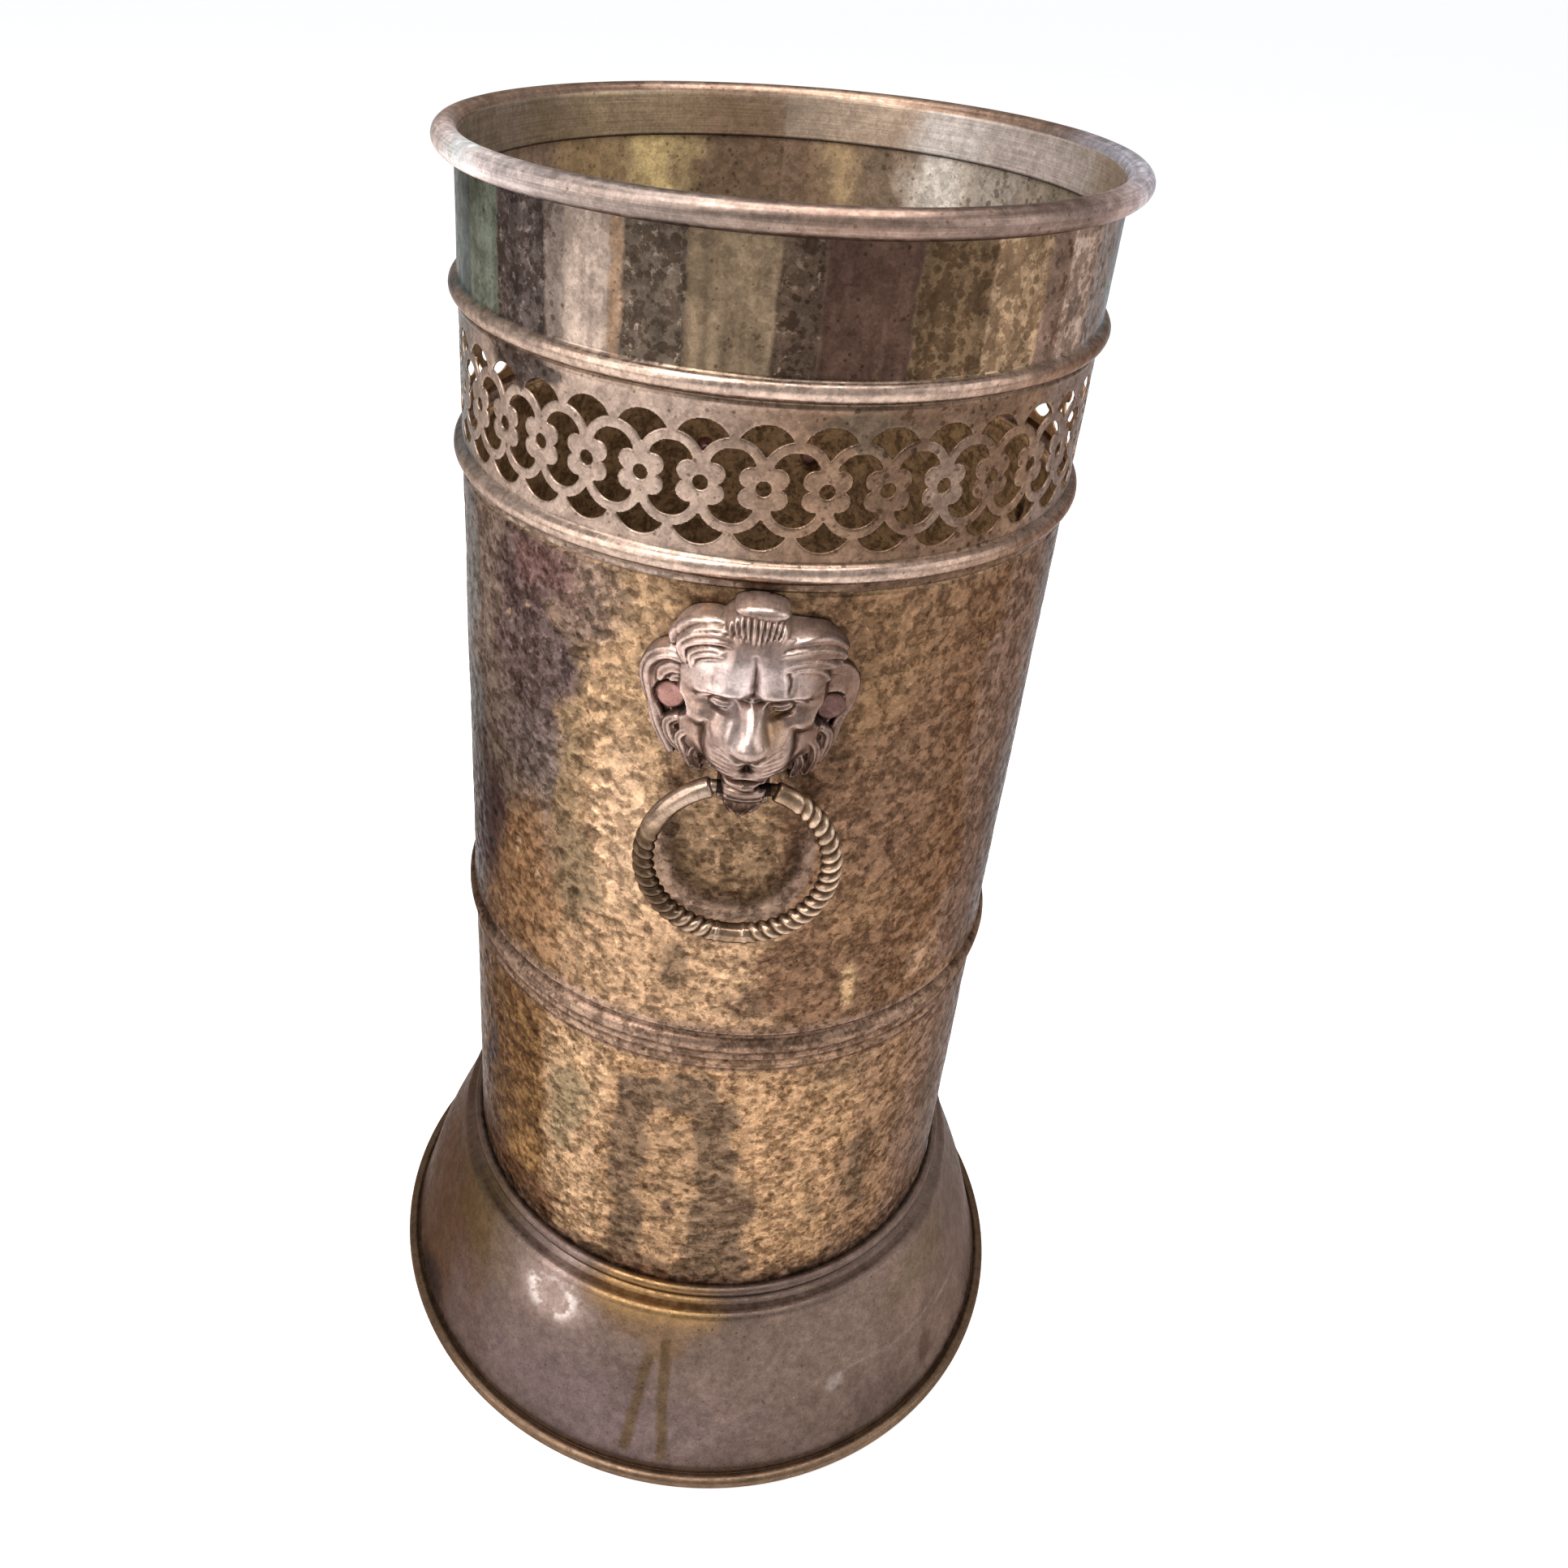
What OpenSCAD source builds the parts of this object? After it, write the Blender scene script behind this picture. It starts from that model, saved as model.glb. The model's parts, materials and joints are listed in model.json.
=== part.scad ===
// Cylindrical sheet-brass umbrella stand: rolled rim, pierced gallery, flared foot
// and two lion masks that each carry a swinging ring handle.
// The origin is on the floor, on the axis of the barrel; the first mask faces -Y.

/* [Body] */
// Height from the floor to the top of the rolled rim
total_h = 500; // [495:5:540]
// Outside diameter of the barrel
barrel_d = 206; // [202:2:212]
// Thickness of the brass sheet
sheet_t = 0.8; // [0.7:0.05:0.85]

/* [Rim] */
// Outside diameter of the rolled rim
rim_roll_d = 8.2; // [7.6:0.2:9]
// How far the collar's skirt reaches down inside the barrel, below the roll's centre
collar_skirt = 14.2; // [10:0.2:20]

/* [Beads] */
// Height of the bead above the gallery
upper_bead_z = 452.2; // [450:0.2:456]
// Height of the bead below the gallery
lower_bead_z = 399.4; // [398:0.2:401]
// How far these two beads stand out of the sheet
bead_out = 2.9; // [2.2:0.1:3.2]
// Height of the wide bead round the middle
mid_bead_z = 214.6; // [190:0.2:230]
// How far the middle bead stands out of the sheet
mid_bead_out = 2.3; // [1.8:0.1:2.6]

/* [Gallery] */
// Height of the centre of the pierced pattern
gallery_z = 424; // [423:0.5:426]
// Number of links, and of flowers, around the gallery
link_count = 37; // [36:1:38]
// Turn of the pattern, in degrees, from the middle of the first mask
gallery_turn = -1; // [-5:0.5:5]
// Radius of the hole in the middle of a flower
flower_hole_r = 2.2; // [1.6:0.1:2.4]

/* [Foot] */
// Outside diameter of the foot, over its rolled edge
foot_d = 279.6; // [270:0.2:300]
// Diameter of the foot's rolled edge
foot_roll_d = 5.2; // [5:0.1:5.6]
// Height of the crisp edge where the flare starts
flare_z = 76.2; // [70:0.2:80]
// Height of the top face of the bottom pan
pan_z = 72.8; // [71:0.2:80]

/* [Lion masks] */
// Height of the middle of the mask
mask_z = 357; // [354:0.5:360]
// Azimuth of a rivet from the middle of the mask, in degrees
rivet_az = 12.8; // [12.4:0.1:13.2]
// Diameter of a rivet's head
rivet_head_d = 9; // [8:0.2:9.6]
// Diameter of a rivet's shank
rivet_d = 4; // [3.6:0.1:4.4]

/* [Ring handles] */
// Radius of the ring's centreline
ring_r = 29.2; // [28:0.1:31]
// Thickness of the ring
ring_d = 7; // [6:0.2:7.2]
// Distance from the barrel to the ring's hinge axis
hinge_out = 9.5; // [9:0.1:10]
// Drop of the hinge axis below the middle of the mask
hinge_drop = 25; // [24.5:0.1:25.5]
// Diameter of the ring's two hinge ends
hinge_d = 4; // [3.6:0.1:4.2]

/* [Hidden] */

barrel_r = barrel_d / 2;
inner_r = barrel_r - sheet_t;
solder_gap = 0.05;
front = 0;
back = 180;

// rim: the skirt lies inside the barrel and the roll curls outwards over its top edge
roll_r = rim_roll_d / 2;
skirt_out_r = inner_r - solder_gap;
skirt_in_r = skirt_out_r - sheet_t;
rim_r = skirt_in_r + roll_r;
rim_z = total_h - roll_r;
rim_wire_r = roll_r - sheet_t - 0.1;
band_top_z = rim_z - 2.3;

// sheet joint under the lower bead: the barrel is swaged inwards and slips into the band
joint_z = lower_bead_z - 5.9;
swage_h = 3;
barrel_bottom_z = pan_z - 6.8;

// beads and the fine ridges that the beading tool leaves beside them
bead_half_h = 3.1;
mid_bead_half_h = 3.6;
fine_ridge_r = 0.45;
bead_ridge_drop = 4.9;
mid_ridges = [6, -6.2, -10.6];

// one repeat of the gallery, with x along the sheet and y upwards
link_pitch = PI * barrel_d / link_count;
link_arc_z = 4.3;
link_in_r = 6.7;
link_out_r = 9.8;
fan_r = 8.25;
fan_z = 10.05;
petal_r = 3.2;
side_petals = [[3.7, 2.9], [-3.7, 2.9], [3.7, -2.9], [-3.7, -2.9]];
end_petals = [[0, 4.5], [0, -4.5]];
flower_body_r = 4.6;
cut_depth = 6;

// foot
foot_roll_r = foot_roll_d / 2;
foot_r = foot_d / 2 - foot_roll_r;
foot_roll_z = foot_roll_r - 0.1;
foot_wire_r = foot_roll_r - sheet_t - 0.1;
neck_bead_r = 2.2;
neck_bead_z = flare_z + 3.5;
neck_bead_at = barrel_r + 1.7;
flare_r = barrel_r + 10.6;
flare_end = [foot_r - 1.7, foot_roll_z + 1.35];
neck_in_r = barrel_r + solder_gap;
// line of the sheet's outer face, from the neck bead down to the roll
foot_line = [
    [neck_bead_at + 0.1, neck_bead_z - 1.75],
    [barrel_r + 2.6, flare_z - 0.6],
    [barrel_r + 5.4, flare_z - 1.4],
    [barrel_r + 8.4, flare_z - 0.8],
    [barrel_r + 10.0, flare_z + 0.3],
    [flare_r + 0.5, flare_z - 0.4],
    flare_end];

// masks: half widths of the outline, as [angle up from straight down, radius]
mask_edge_t = 1.3;
mask_wall = 1.5;
mask_gap = 0.05;
mask_outline = [[0, 38], [12, 36], [24, 28.5], [38, 27.5], [52, 29], [66, 28.5], [80, 29.5], [94, 31],
                [104, 32.6], [116, 33.8], [126, 33], [138, 35], [150, 34.4], [160, 35.4], [170, 37.2],
                [180, 37.8]];
// forms of the face: [centre, half size, height]
mask_forms = [
    [[0, 0], [30, 36], 8],       // broad dome of the head
    [[0, 17], [17, 12], 15],     // forehead
    [[8, 11], [9, 5], 17],       // brow
    [[0, 4], [5, 14], 19],       // bridge of the nose
    [[15, -3], [10, 14], 12],    // cheek
    [[5, -9], [8, 8.5], 20],     // upper lip
    [[0, -4], [6, 6], 24],       // nose
    [[0, -26], [9, 9], 14],      // chin
    [[0, -33], [4.5, 6], 9],     // beard
    [[0, 33], [10, 6], 10],      // tuft on the crown
    [[17, 30], [8, 6.5], 9],     // locks of the mane, from the crown round to the jaw
    [[25, 22], [7, 7], 9],
    [[28, 11], [6, 8], 8],
    [[26, -1], [5, 6], 6],
    [[22, -12], [6, 7], 7],
    [[15, -20], [5, 6], 5]];
outline_steps = 64;
radius_steps = 13;

// rivets and the burrs (washers) that they are peened over
rivet_r = rivet_d / 2;
rivet_fit = 0.05;
rivet_seat = 1.6;
rivet_head_t = 1.6;
burr_t = 1;
burr_r = 4.4;
rivet_peen = 0.7;

// rings
ring_t_r = ring_d / 2;
ring_ball_r = ring_t_r + 0.25;
ring_clear_r = ring_ball_r + 0.4;
hinge_r = hinge_d / 2;
hinge_fit = 0.05;
hinge_z = mask_z - hinge_drop;
hinge_y = -(barrel_r + hinge_out);
ring_end_x = 12.5;
hinge_tip_x = 5.2;
mouth_x = 8.8;
mouth_bar_r = 3.6;
ring_centre_z = hinge_z - sqrt(pow(ring_r, 2) - pow(ring_end_x, 2));
ring_gap_angle = asin(ring_end_x / ring_r);

brass = [0.62, 0.50, 0.36];
dark_brass = [0.45, 0.36, 0.27];
pale_brass = [0.70, 0.60, 0.52];
copper = [0.65, 0.40, 0.34];
steel = [0.42, 0.40, 0.38];

module spin() {
    rotate_extrude($fn = 144) children();
}

module around(count, turn = 0) {
    for (i = [0:count - 1])
        rotate([0, 0, turn + i * 360 / count]) children();
}

// a tool that points out of the barrel at an azimuth and a height
module outwards(azimuth, z) {
    rotate([0, 0, azimuth]) translate([0, 0, z]) rotate([90, 0, 0]) children();
}

// ---- sheet sections: x is the radius, y the height ----

module sheet_wall(z0, z1) {
    translate([inner_r, z0]) square([sheet_t, z1 - z0]);
}

// a bead: the sheet bulges outwards along an arc and stays hollow behind
function arc_radius(half_h, out) = (pow(half_h, 2) + pow(out, 2)) / (2 * out);

module bead_outside(z, half_h, out) {
    r = arc_radius(half_h, out);
    intersection() {
        translate([barrel_r + out - r, z]) circle(r = r, $fn = 64);
        translate([inner_r, z - r]) square([2 * r, 2 * r]);
    }
}

module bead_hollow(z, half_h, out) {
    r = arc_radius(half_h, out);
    translate([barrel_r + out - r, z]) circle(r = r - sheet_t, $fn = 64);
}

module fine_ridge(z) {
    translate([barrel_r - 0.1, z]) circle(r = fine_ridge_r, $fn = 24);
}

// ---- gallery ----

module oval(r) {
    for (side = [-1, 1])
        translate([0, side * link_arc_z]) circle(r = r, $fn = 64);
    translate([-r, -link_arc_z]) square([2 * r, 2 * link_arc_z]);
}

module flower() {
    circle(r = flower_body_r, $fn = 48);
    for (p = concat(side_petals, end_petals))
        translate(p) circle(r = petal_r, $fn = 48);
}

module link_opening() {
    difference() {
        oval(link_in_r);
        for (side = [-1, 1])
            translate([side * link_pitch / 2, 0]) flower();
    }
}

module fan_opening(side) {
    difference() {
        translate([0, side * fan_z]) circle(r = fan_r, $fn = 64);
        for (neighbour = [-1, 1])
            translate([neighbour * link_pitch / 2, 0]) oval(link_out_r);
    }
}

module cut_outwards(azimuth) {
    outwards(azimuth, gallery_z)
        translate([0, 0, barrel_r - cut_depth / 2]) linear_extrude(cut_depth) children();
}

module gallery_piercing() {
    half_step = 180 / link_count;
    around(link_count, gallery_turn) {
        cut_outwards(0) {
            circle(r = flower_hole_r, $fn = 32);
            fan_opening(1);
            fan_opening(-1);
        }
        cut_outwards(half_step) link_opening();
    }
}

// ---- shell of the stand ----

module rim_collar() {
    color(dark_brass) spin() difference() {
        union() {
            translate([rim_r, rim_z]) circle(r = roll_r, $fn = 64);
            translate([skirt_in_r, rim_z - collar_skirt]) square([sheet_t, collar_skirt]);
        }
        translate([rim_r, rim_z]) circle(r = roll_r - sheet_t, $fn = 64);
        translate([skirt_out_r, rim_z - roll_r - 1]) square([sheet_t + 0.15, roll_r]);
    }
}

module rim_wire() {
    color(steel) spin() translate([rim_r, rim_z]) circle(r = rim_wire_r, $fn = 48);
}

module gallery_band() {
    color(brass) difference() {
        spin() difference() {
            union() {
                sheet_wall(joint_z, band_top_z);
                bead_outside(upper_bead_z, bead_half_h, bead_out);
                bead_outside(lower_bead_z, bead_half_h, bead_out);
                fine_ridge(upper_bead_z - bead_ridge_drop);
            }
            bead_hollow(upper_bead_z, bead_half_h, bead_out);
            bead_hollow(lower_bead_z, bead_half_h, bead_out);
        }
        gallery_piercing();
    }
}

module barrel() {
    swage_r = inner_r - solder_gap;
    color(brass) difference() {
        spin() {
            difference() {
                union() {
                    sheet_wall(barrel_bottom_z, joint_z - 1.2);
                    bead_outside(mid_bead_z, mid_bead_half_h, mid_bead_out);
                    for (dz = mid_ridges)
                        fine_ridge(mid_bead_z + dz);
                }
                bead_hollow(mid_bead_z, mid_bead_half_h, mid_bead_out);
            }
            polygon([
                [inner_r, joint_z - 1.2],
                [barrel_r, joint_z - 1.2],
                [swage_r, joint_z - 0.2],
                [swage_r, joint_z + swage_h - 1],
                [swage_r - sheet_t, joint_z + swage_h - 1],
                [swage_r - sheet_t, joint_z - 0.6]]);
        }
        for (side = [front, back])
            for (az = [-rivet_az, rivet_az])
                rivet_hole(side + az);
    }
}

module foot_skirt() {
    color(dark_brass) spin() difference() {
        union() {
            intersection() {
                translate([neck_bead_at, neck_bead_z]) circle(r = neck_bead_r, $fn = 48);
                translate([neck_in_r, neck_bead_z - neck_bead_r]) square(2 * neck_bead_r);
            }
            sheet_along(foot_line);
            intersection() {
                translate([foot_r, foot_roll_z]) circle(r = foot_roll_r, $fn = 64);
                translate([foot_r - foot_roll_r, 0]) square(2 * foot_roll_r);
            }
        }
        translate([neck_bead_at - 0.2, neck_bead_z]) circle(r = neck_bead_r - sheet_t, $fn = 48);
        translate([foot_r, foot_roll_z]) circle(r = foot_roll_r - sheet_t, $fn = 64);
    }
}

// sheet whose outer face follows a line, with mitred corners on its inner face
function unit(v) = v / norm(v);

function inward(line, i) = let (d = unit(line[i + 1] - line[i])) [d[1], -d[0]];

function mitre(line, i) =
    let (n = inward(line, max(0, i - 1)), m = inward(line, min(len(line) - 2, i)))
    (n + m) / (1 + n * m);

module sheet_along(line) {
    last = len(line) - 1;
    polygon(concat([for (i = [last:-1:0]) line[i]],
                   [for (i = [0:last]) line[i] + sheet_t * mitre(line, i)]));
}

module foot_wire() {
    color(steel) spin() translate([foot_r, foot_roll_z]) circle(r = foot_wire_r, $fn = 48);
}

module bottom_pan() {
    pan_r = inner_r - solder_gap;
    color(dark_brass) spin() {
        translate([0, pan_z - sheet_t]) square([pan_r, sheet_t]);
        translate([pan_r - sheet_t, barrel_bottom_z]) square([sheet_t, pan_z - barrel_bottom_z]);
    }
}

// ---- lion masks ----

function bump(x, z, form) =
    form[2] * sqrt(max(0, 1 - pow((x - form[0][0]) / form[1][0], 2)
                          - pow((z - form[0][1]) / form[1][1], 2)));

function relief(x, z) = max([for (form = mask_forms) bump(abs(x), z, form)]);

// a point of the mask: x along the barrel's face, z up from the mask's middle, h off the barrel
function on_barrel(x, z, h) =
    let (az = x / barrel_r * 180 / PI)
    [(barrel_r + h) * sin(az), -(barrel_r + h) * cos(az), mask_z + z];

function mask_at(share, turn) =
    let (side = turn > 180 ? 360 - turn : turn, r = share * lookup(side, mask_outline))
    [r * sin(turn), -r * cos(turn)];

function front_h(p, share) = max(mask_edge_t, relief(p[0], p[1]) * (1 - pow(share, 6)));

function back_h(p, share) = max(mask_gap, front_h(p, share) - mask_wall);

module mask_shell() {
    n = outline_steps;
    last = radius_steps;
    turns = [for (j = [0:n - 1]) j * 360 / n];
    grid = [for (i = [1:last]) for (t = turns) [i / last, mask_at(i / last, t)]];
    front_points = [for (g = grid) on_barrel(g[1][0], g[1][1], front_h(g[1], g[0]))];
    back_points = [for (g = grid) on_barrel(g[1][0], g[1][1], back_h(g[1], g[0]))];
    front_centre = on_barrel(0, 0, front_h([0, 0], 0));
    back_centre = on_barrel(0, 0, back_h([0, 0], 0));
    half = n * last;
    fan = [for (j = [0:n - 1]) [2 * half, (j + 1) % n, j]];
    rings = [for (i = [0:last - 2]) for (j = [0:n - 1])
        let (a = i * n + j, b = i * n + (j + 1) % n)
        for (t = [[a, b, b + n], [a, b + n, a + n]]) t];
    rim = [for (j = [0:n - 1])
        let (a = half - n + j, b = half - n + (j + 1) % n)
        for (t = [[a, b, b + half], [a, b + half, a + half]]) t];
    back_fan = [for (j = [0:n - 1]) [2 * half + 1, half + j, half + (j + 1) % n]];
    back_rings = [for (t = rings) [t[0] + half, t[2] + half, t[1] + half]];
    polyhedron(concat(front_points, back_points, [front_centre, back_centre]),
               concat(fan, rings, rim, back_fan, back_rings), convexity = 6);
}

module rivet_hole(azimuth) {
    outwards(azimuth, mask_z)
        translate([0, 0, barrel_r - 4]) cylinder(h = 10, r = rivet_r + rivet_fit, $fn = 32);
}

module rivet_seat_cut(azimuth) {
    outwards(azimuth, mask_z)
        translate([0, 0, barrel_r + rivet_seat]) cylinder(h = 20, r = rivet_head_d / 2 + 0.4, $fn = 48);
}

module across(x0, x1, r) {
    translate([x0, hinge_y, hinge_z]) rotate([0, 90, 0]) cylinder(h = x1 - x0, r = r, $fn = 48);
}

module lion_mask() {
    color(pale_brass) difference() {
        union() {
            mask_shell();
            across(-mouth_x, mouth_x, mouth_bar_r);
        }
        for (az = [-rivet_az, rivet_az]) {
            rivet_seat_cut(az);
            rivet_hole(az);
        }
        for (side = [-1, 1]) {
            across(min(side * 5, side * 20), max(side * 5, side * 20), hinge_r + hinge_fit);
            across(min(side * mouth_x, side * 24), max(side * mouth_x, side * 24), ring_clear_r);
        }
    }
}

// ---- rivets: shank through mask, barrel and burr, with a flat head outside ----

module rivet(azimuth) {
    shank_from = inner_r - burr_t - solder_gap - rivet_peen;
    head_from = barrel_r + rivet_seat + solder_gap;
    color(copper) outwards(azimuth, mask_z) {
        translate([0, 0, shank_from]) cylinder(h = head_from - shank_from, r = rivet_r, $fn = 32);
        translate([0, 0, head_from]) cylinder(h = rivet_head_t * 0.6, r = rivet_head_d / 2, $fn = 48);
        translate([0, 0, head_from + rivet_head_t * 0.6])
            cylinder(h = rivet_head_t * 0.4, r = rivet_head_d / 2 - 0.5, $fn = 48);
        translate([0, 0, shank_from - 0.5]) cylinder(h = 0.5 + rivet_peen - 0.1, r = rivet_r + 0.6, $fn = 32);
    }
}

// the burr bears on the curved wall with its rim only
module burr(azimuth) {
    seat = sqrt(pow(inner_r - solder_gap, 2) - pow(burr_r, 2));
    color(copper) outwards(azimuth, mask_z)
        difference() {
            translate([0, 0, inner_r - solder_gap - burr_t])
                cylinder(h = seat - (inner_r - solder_gap - burr_t), r = burr_r, $fn = 48);
            translate([0, 0, inner_r - 4]) cylinder(h = 8, r = rivet_r + rivet_fit, $fn = 32);
        }
}

// ---- ring handle: an open ring whose two ends turn inwards into the mask's mouth ----

module ring_handle() {
    color(brass) {
        translate([0, hinge_y, ring_centre_z]) rotate([90, 0, 0])
            rotate([0, 0, 90 + ring_gap_angle])
                rotate_extrude(angle = 360 - 2 * ring_gap_angle, $fn = 96)
                    translate([ring_r, 0]) circle(r = ring_t_r, $fn = 48);
        for (side = [-1, 1]) {
            translate([side * ring_end_x, hinge_y, hinge_z]) sphere(r = ring_ball_r, $fn = 48);
            across(min(side * hinge_tip_x, side * ring_end_x),
                   max(side * hinge_tip_x, side * ring_end_x), hinge_r);
        }
    }
}

rim_collar();
rim_wire();
gallery_band();
barrel();
foot_skirt();
foot_wire();
bottom_pan();
lion_mask();  // lion_mask_front
rotate([0, 0, back]) lion_mask();  // lion_mask_back
rivet(front - rivet_az);  // rivet_front_left
rivet(front + rivet_az);  // rivet_front_right
rivet(back - rivet_az);  // rivet_back_left
rivet(back + rivet_az);  // rivet_back_right
burr(front - rivet_az);  // burr_front_left
burr(front + rivet_az);  // burr_front_right
burr(back - rivet_az);  // burr_back_left
burr(back + rivet_az);  // burr_back_right
ring_handle();  // ring_handle_front
rotate([0, 0, back]) ring_handle();  // ring_handle_back
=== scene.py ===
"""Looks of the sheet-brass umbrella stand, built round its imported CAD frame.

Lengths are millimetres until a mesh is written. Azimuth is in degrees round the barrel: 0 faces -Y,
where the front mask is, and it grows towards +X.
"""
import json
import math

import bpy
import numpy as np
from mathutils import Matrix, Vector


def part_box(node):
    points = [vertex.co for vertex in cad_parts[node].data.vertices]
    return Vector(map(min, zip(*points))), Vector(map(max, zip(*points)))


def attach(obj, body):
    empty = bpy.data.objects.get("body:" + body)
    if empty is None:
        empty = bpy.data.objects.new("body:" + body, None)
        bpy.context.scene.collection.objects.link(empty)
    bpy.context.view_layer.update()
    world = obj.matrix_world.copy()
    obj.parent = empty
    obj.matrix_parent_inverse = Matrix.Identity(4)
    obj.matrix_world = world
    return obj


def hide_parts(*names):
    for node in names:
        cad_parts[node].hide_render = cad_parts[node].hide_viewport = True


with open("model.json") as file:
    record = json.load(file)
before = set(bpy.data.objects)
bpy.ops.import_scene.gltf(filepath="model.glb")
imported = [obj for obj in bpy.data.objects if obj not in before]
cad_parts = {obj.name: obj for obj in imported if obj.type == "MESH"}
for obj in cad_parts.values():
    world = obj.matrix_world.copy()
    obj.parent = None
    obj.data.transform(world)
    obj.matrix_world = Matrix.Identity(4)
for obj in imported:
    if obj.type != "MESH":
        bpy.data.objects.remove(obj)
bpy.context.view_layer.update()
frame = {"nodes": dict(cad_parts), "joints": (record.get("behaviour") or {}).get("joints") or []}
scene = bpy.context.scene

MM = 0.001


# ---- sizes, from the frame ----

def low(node):
    """Lowest x, y and z of a CAD node, in millimetres."""
    return np.array(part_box(node)[0]) / MM


def high(node):
    return np.array(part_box(node)[1]) / MM


def middle(node):
    return (low(node) + high(node)) / 2


SHEET = 0.8
SOLDER_GAP = 0.05
INNER_R = high("bottom_pan")[0] + SOLDER_GAP
WALL_R = INNER_R + SHEET
MM_PER_DEG = WALL_R * math.pi / 180

RIM_Z = middle("rim_wire")[2]
RIM_ROLL_R = high("rim_collar")[2] - RIM_Z
RIM_R = high("rim_collar")[0] - RIM_ROLL_R
SKIRT_Z = low("rim_collar")[2]
JOINT_Z = low("gallery_band")[2]
BAND_TOP = high("gallery_band")[2]
BARREL_LOW, BARREL_TOP = low("barrel")[2], high("barrel")[2]
MASK_Z = middle("rivet_front_left")[2]
RIVET_AT = middle("rivet_front_right")[:2]
RIVET_AZ = math.degrees(math.atan2(RIVET_AT[0], -RIVET_AT[1]))

HINGE = np.array([j["pos_m"] for j in frame["joints"] if j["child"] == "front_ring"][0]) / MM
ROPE_R = 3.5
RING_R = high("ring_handle_front")[0] - ROPE_R
RING_SHADOW_Z = HINGE[2] - RING_R - 4  # wall height behind the middle of the hanging ring, where its painted shadow and reflection are centred
FOOT_OUT = high("foot_skirt")[0]

# beads and gallery, as the CAD has them
UPPER_BEAD, LOWER_BEAD, MID_BEAD = 452.2, 399.4, 214.6
BEAD_HALF, BEAD_OUT = 3.1, 2.9
MID_HALF, MID_OUT = 3.6, 2.3
GALLERY_Z, LINKS, GALLERY_TURN = 424.0, 37, -1.0


# ---- smooth noise and masks, in numpy ----

LATTICE = 64


def ramp(v, start, end):
    """A smooth step from 0 at the start to 1 at the end, which may lie below the start."""
    t = np.clip((v - start) / (end - start), 0, 1)
    return t * t * (3 - 2 * t)


def between(v, rise_from, rise_to, fall_from, fall_to):
    """1 between two soft edges: rises over the first two values, falls over the last two."""
    return ramp(v, rise_from, rise_to) * ramp(v, fall_to, fall_from)


def hump(v, middle, half):
    """1 at its middle, and nearly 0 from two half widths away."""
    return np.exp(-((v - middle) / half) ** 2)


def noise(x, y, z, cell, seed, octaves=3):
    """Smooth noise about 0, mostly within -1..1, whose largest features are cell millimetres."""
    total, weight = 0.0, 0.0
    for octave in range(octaves):
        table = np.random.default_rng(seed + octave).random((LATTICE,) * 3).astype(np.float32)
        share = 0.55 ** octave
        near, far, part = [], [], []
        for axis in (x, y, z):
            p = axis * (2 ** octave / cell) + 917.3
            i = np.floor(p).astype(int)
            f = p - i
            near.append(i % LATTICE)
            far.append((i + 1) % LATTICE)
            part.append(f * f * (3 - 2 * f))
        value = 0.0
        for corner in range(8):
            picks = [far[a] if corner >> a & 1 else near[a] for a in range(3)]
            amounts = [part[a] if corner >> a & 1 else 1 - part[a] for a in range(3)]
            value = value + table[picks[0], picks[1], picks[2]] * amounts[0] * amounts[1] * amounts[2]
        total = total + share * (value - 0.5)
        weight += share * share
    return total * 2.4 / math.sqrt(weight)


def noise_at(points, cell, seed, octaves=3):
    """The same noise at an array of points."""
    return noise(*np.moveaxis(points, -1, 0), cell, seed, octaves)


def linear(rgb):
    """Linear light of an sRGB colour that is given from 0 to 255."""
    c = np.array(rgb, float) / 255
    return np.where(c <= 0.04045, c / 12.92, ((c + 0.055) / 1.055) ** 2.4)


GAIN = 0.64  # how much brighter than its own colour a brass surface looks over this pale floor, undone


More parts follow.
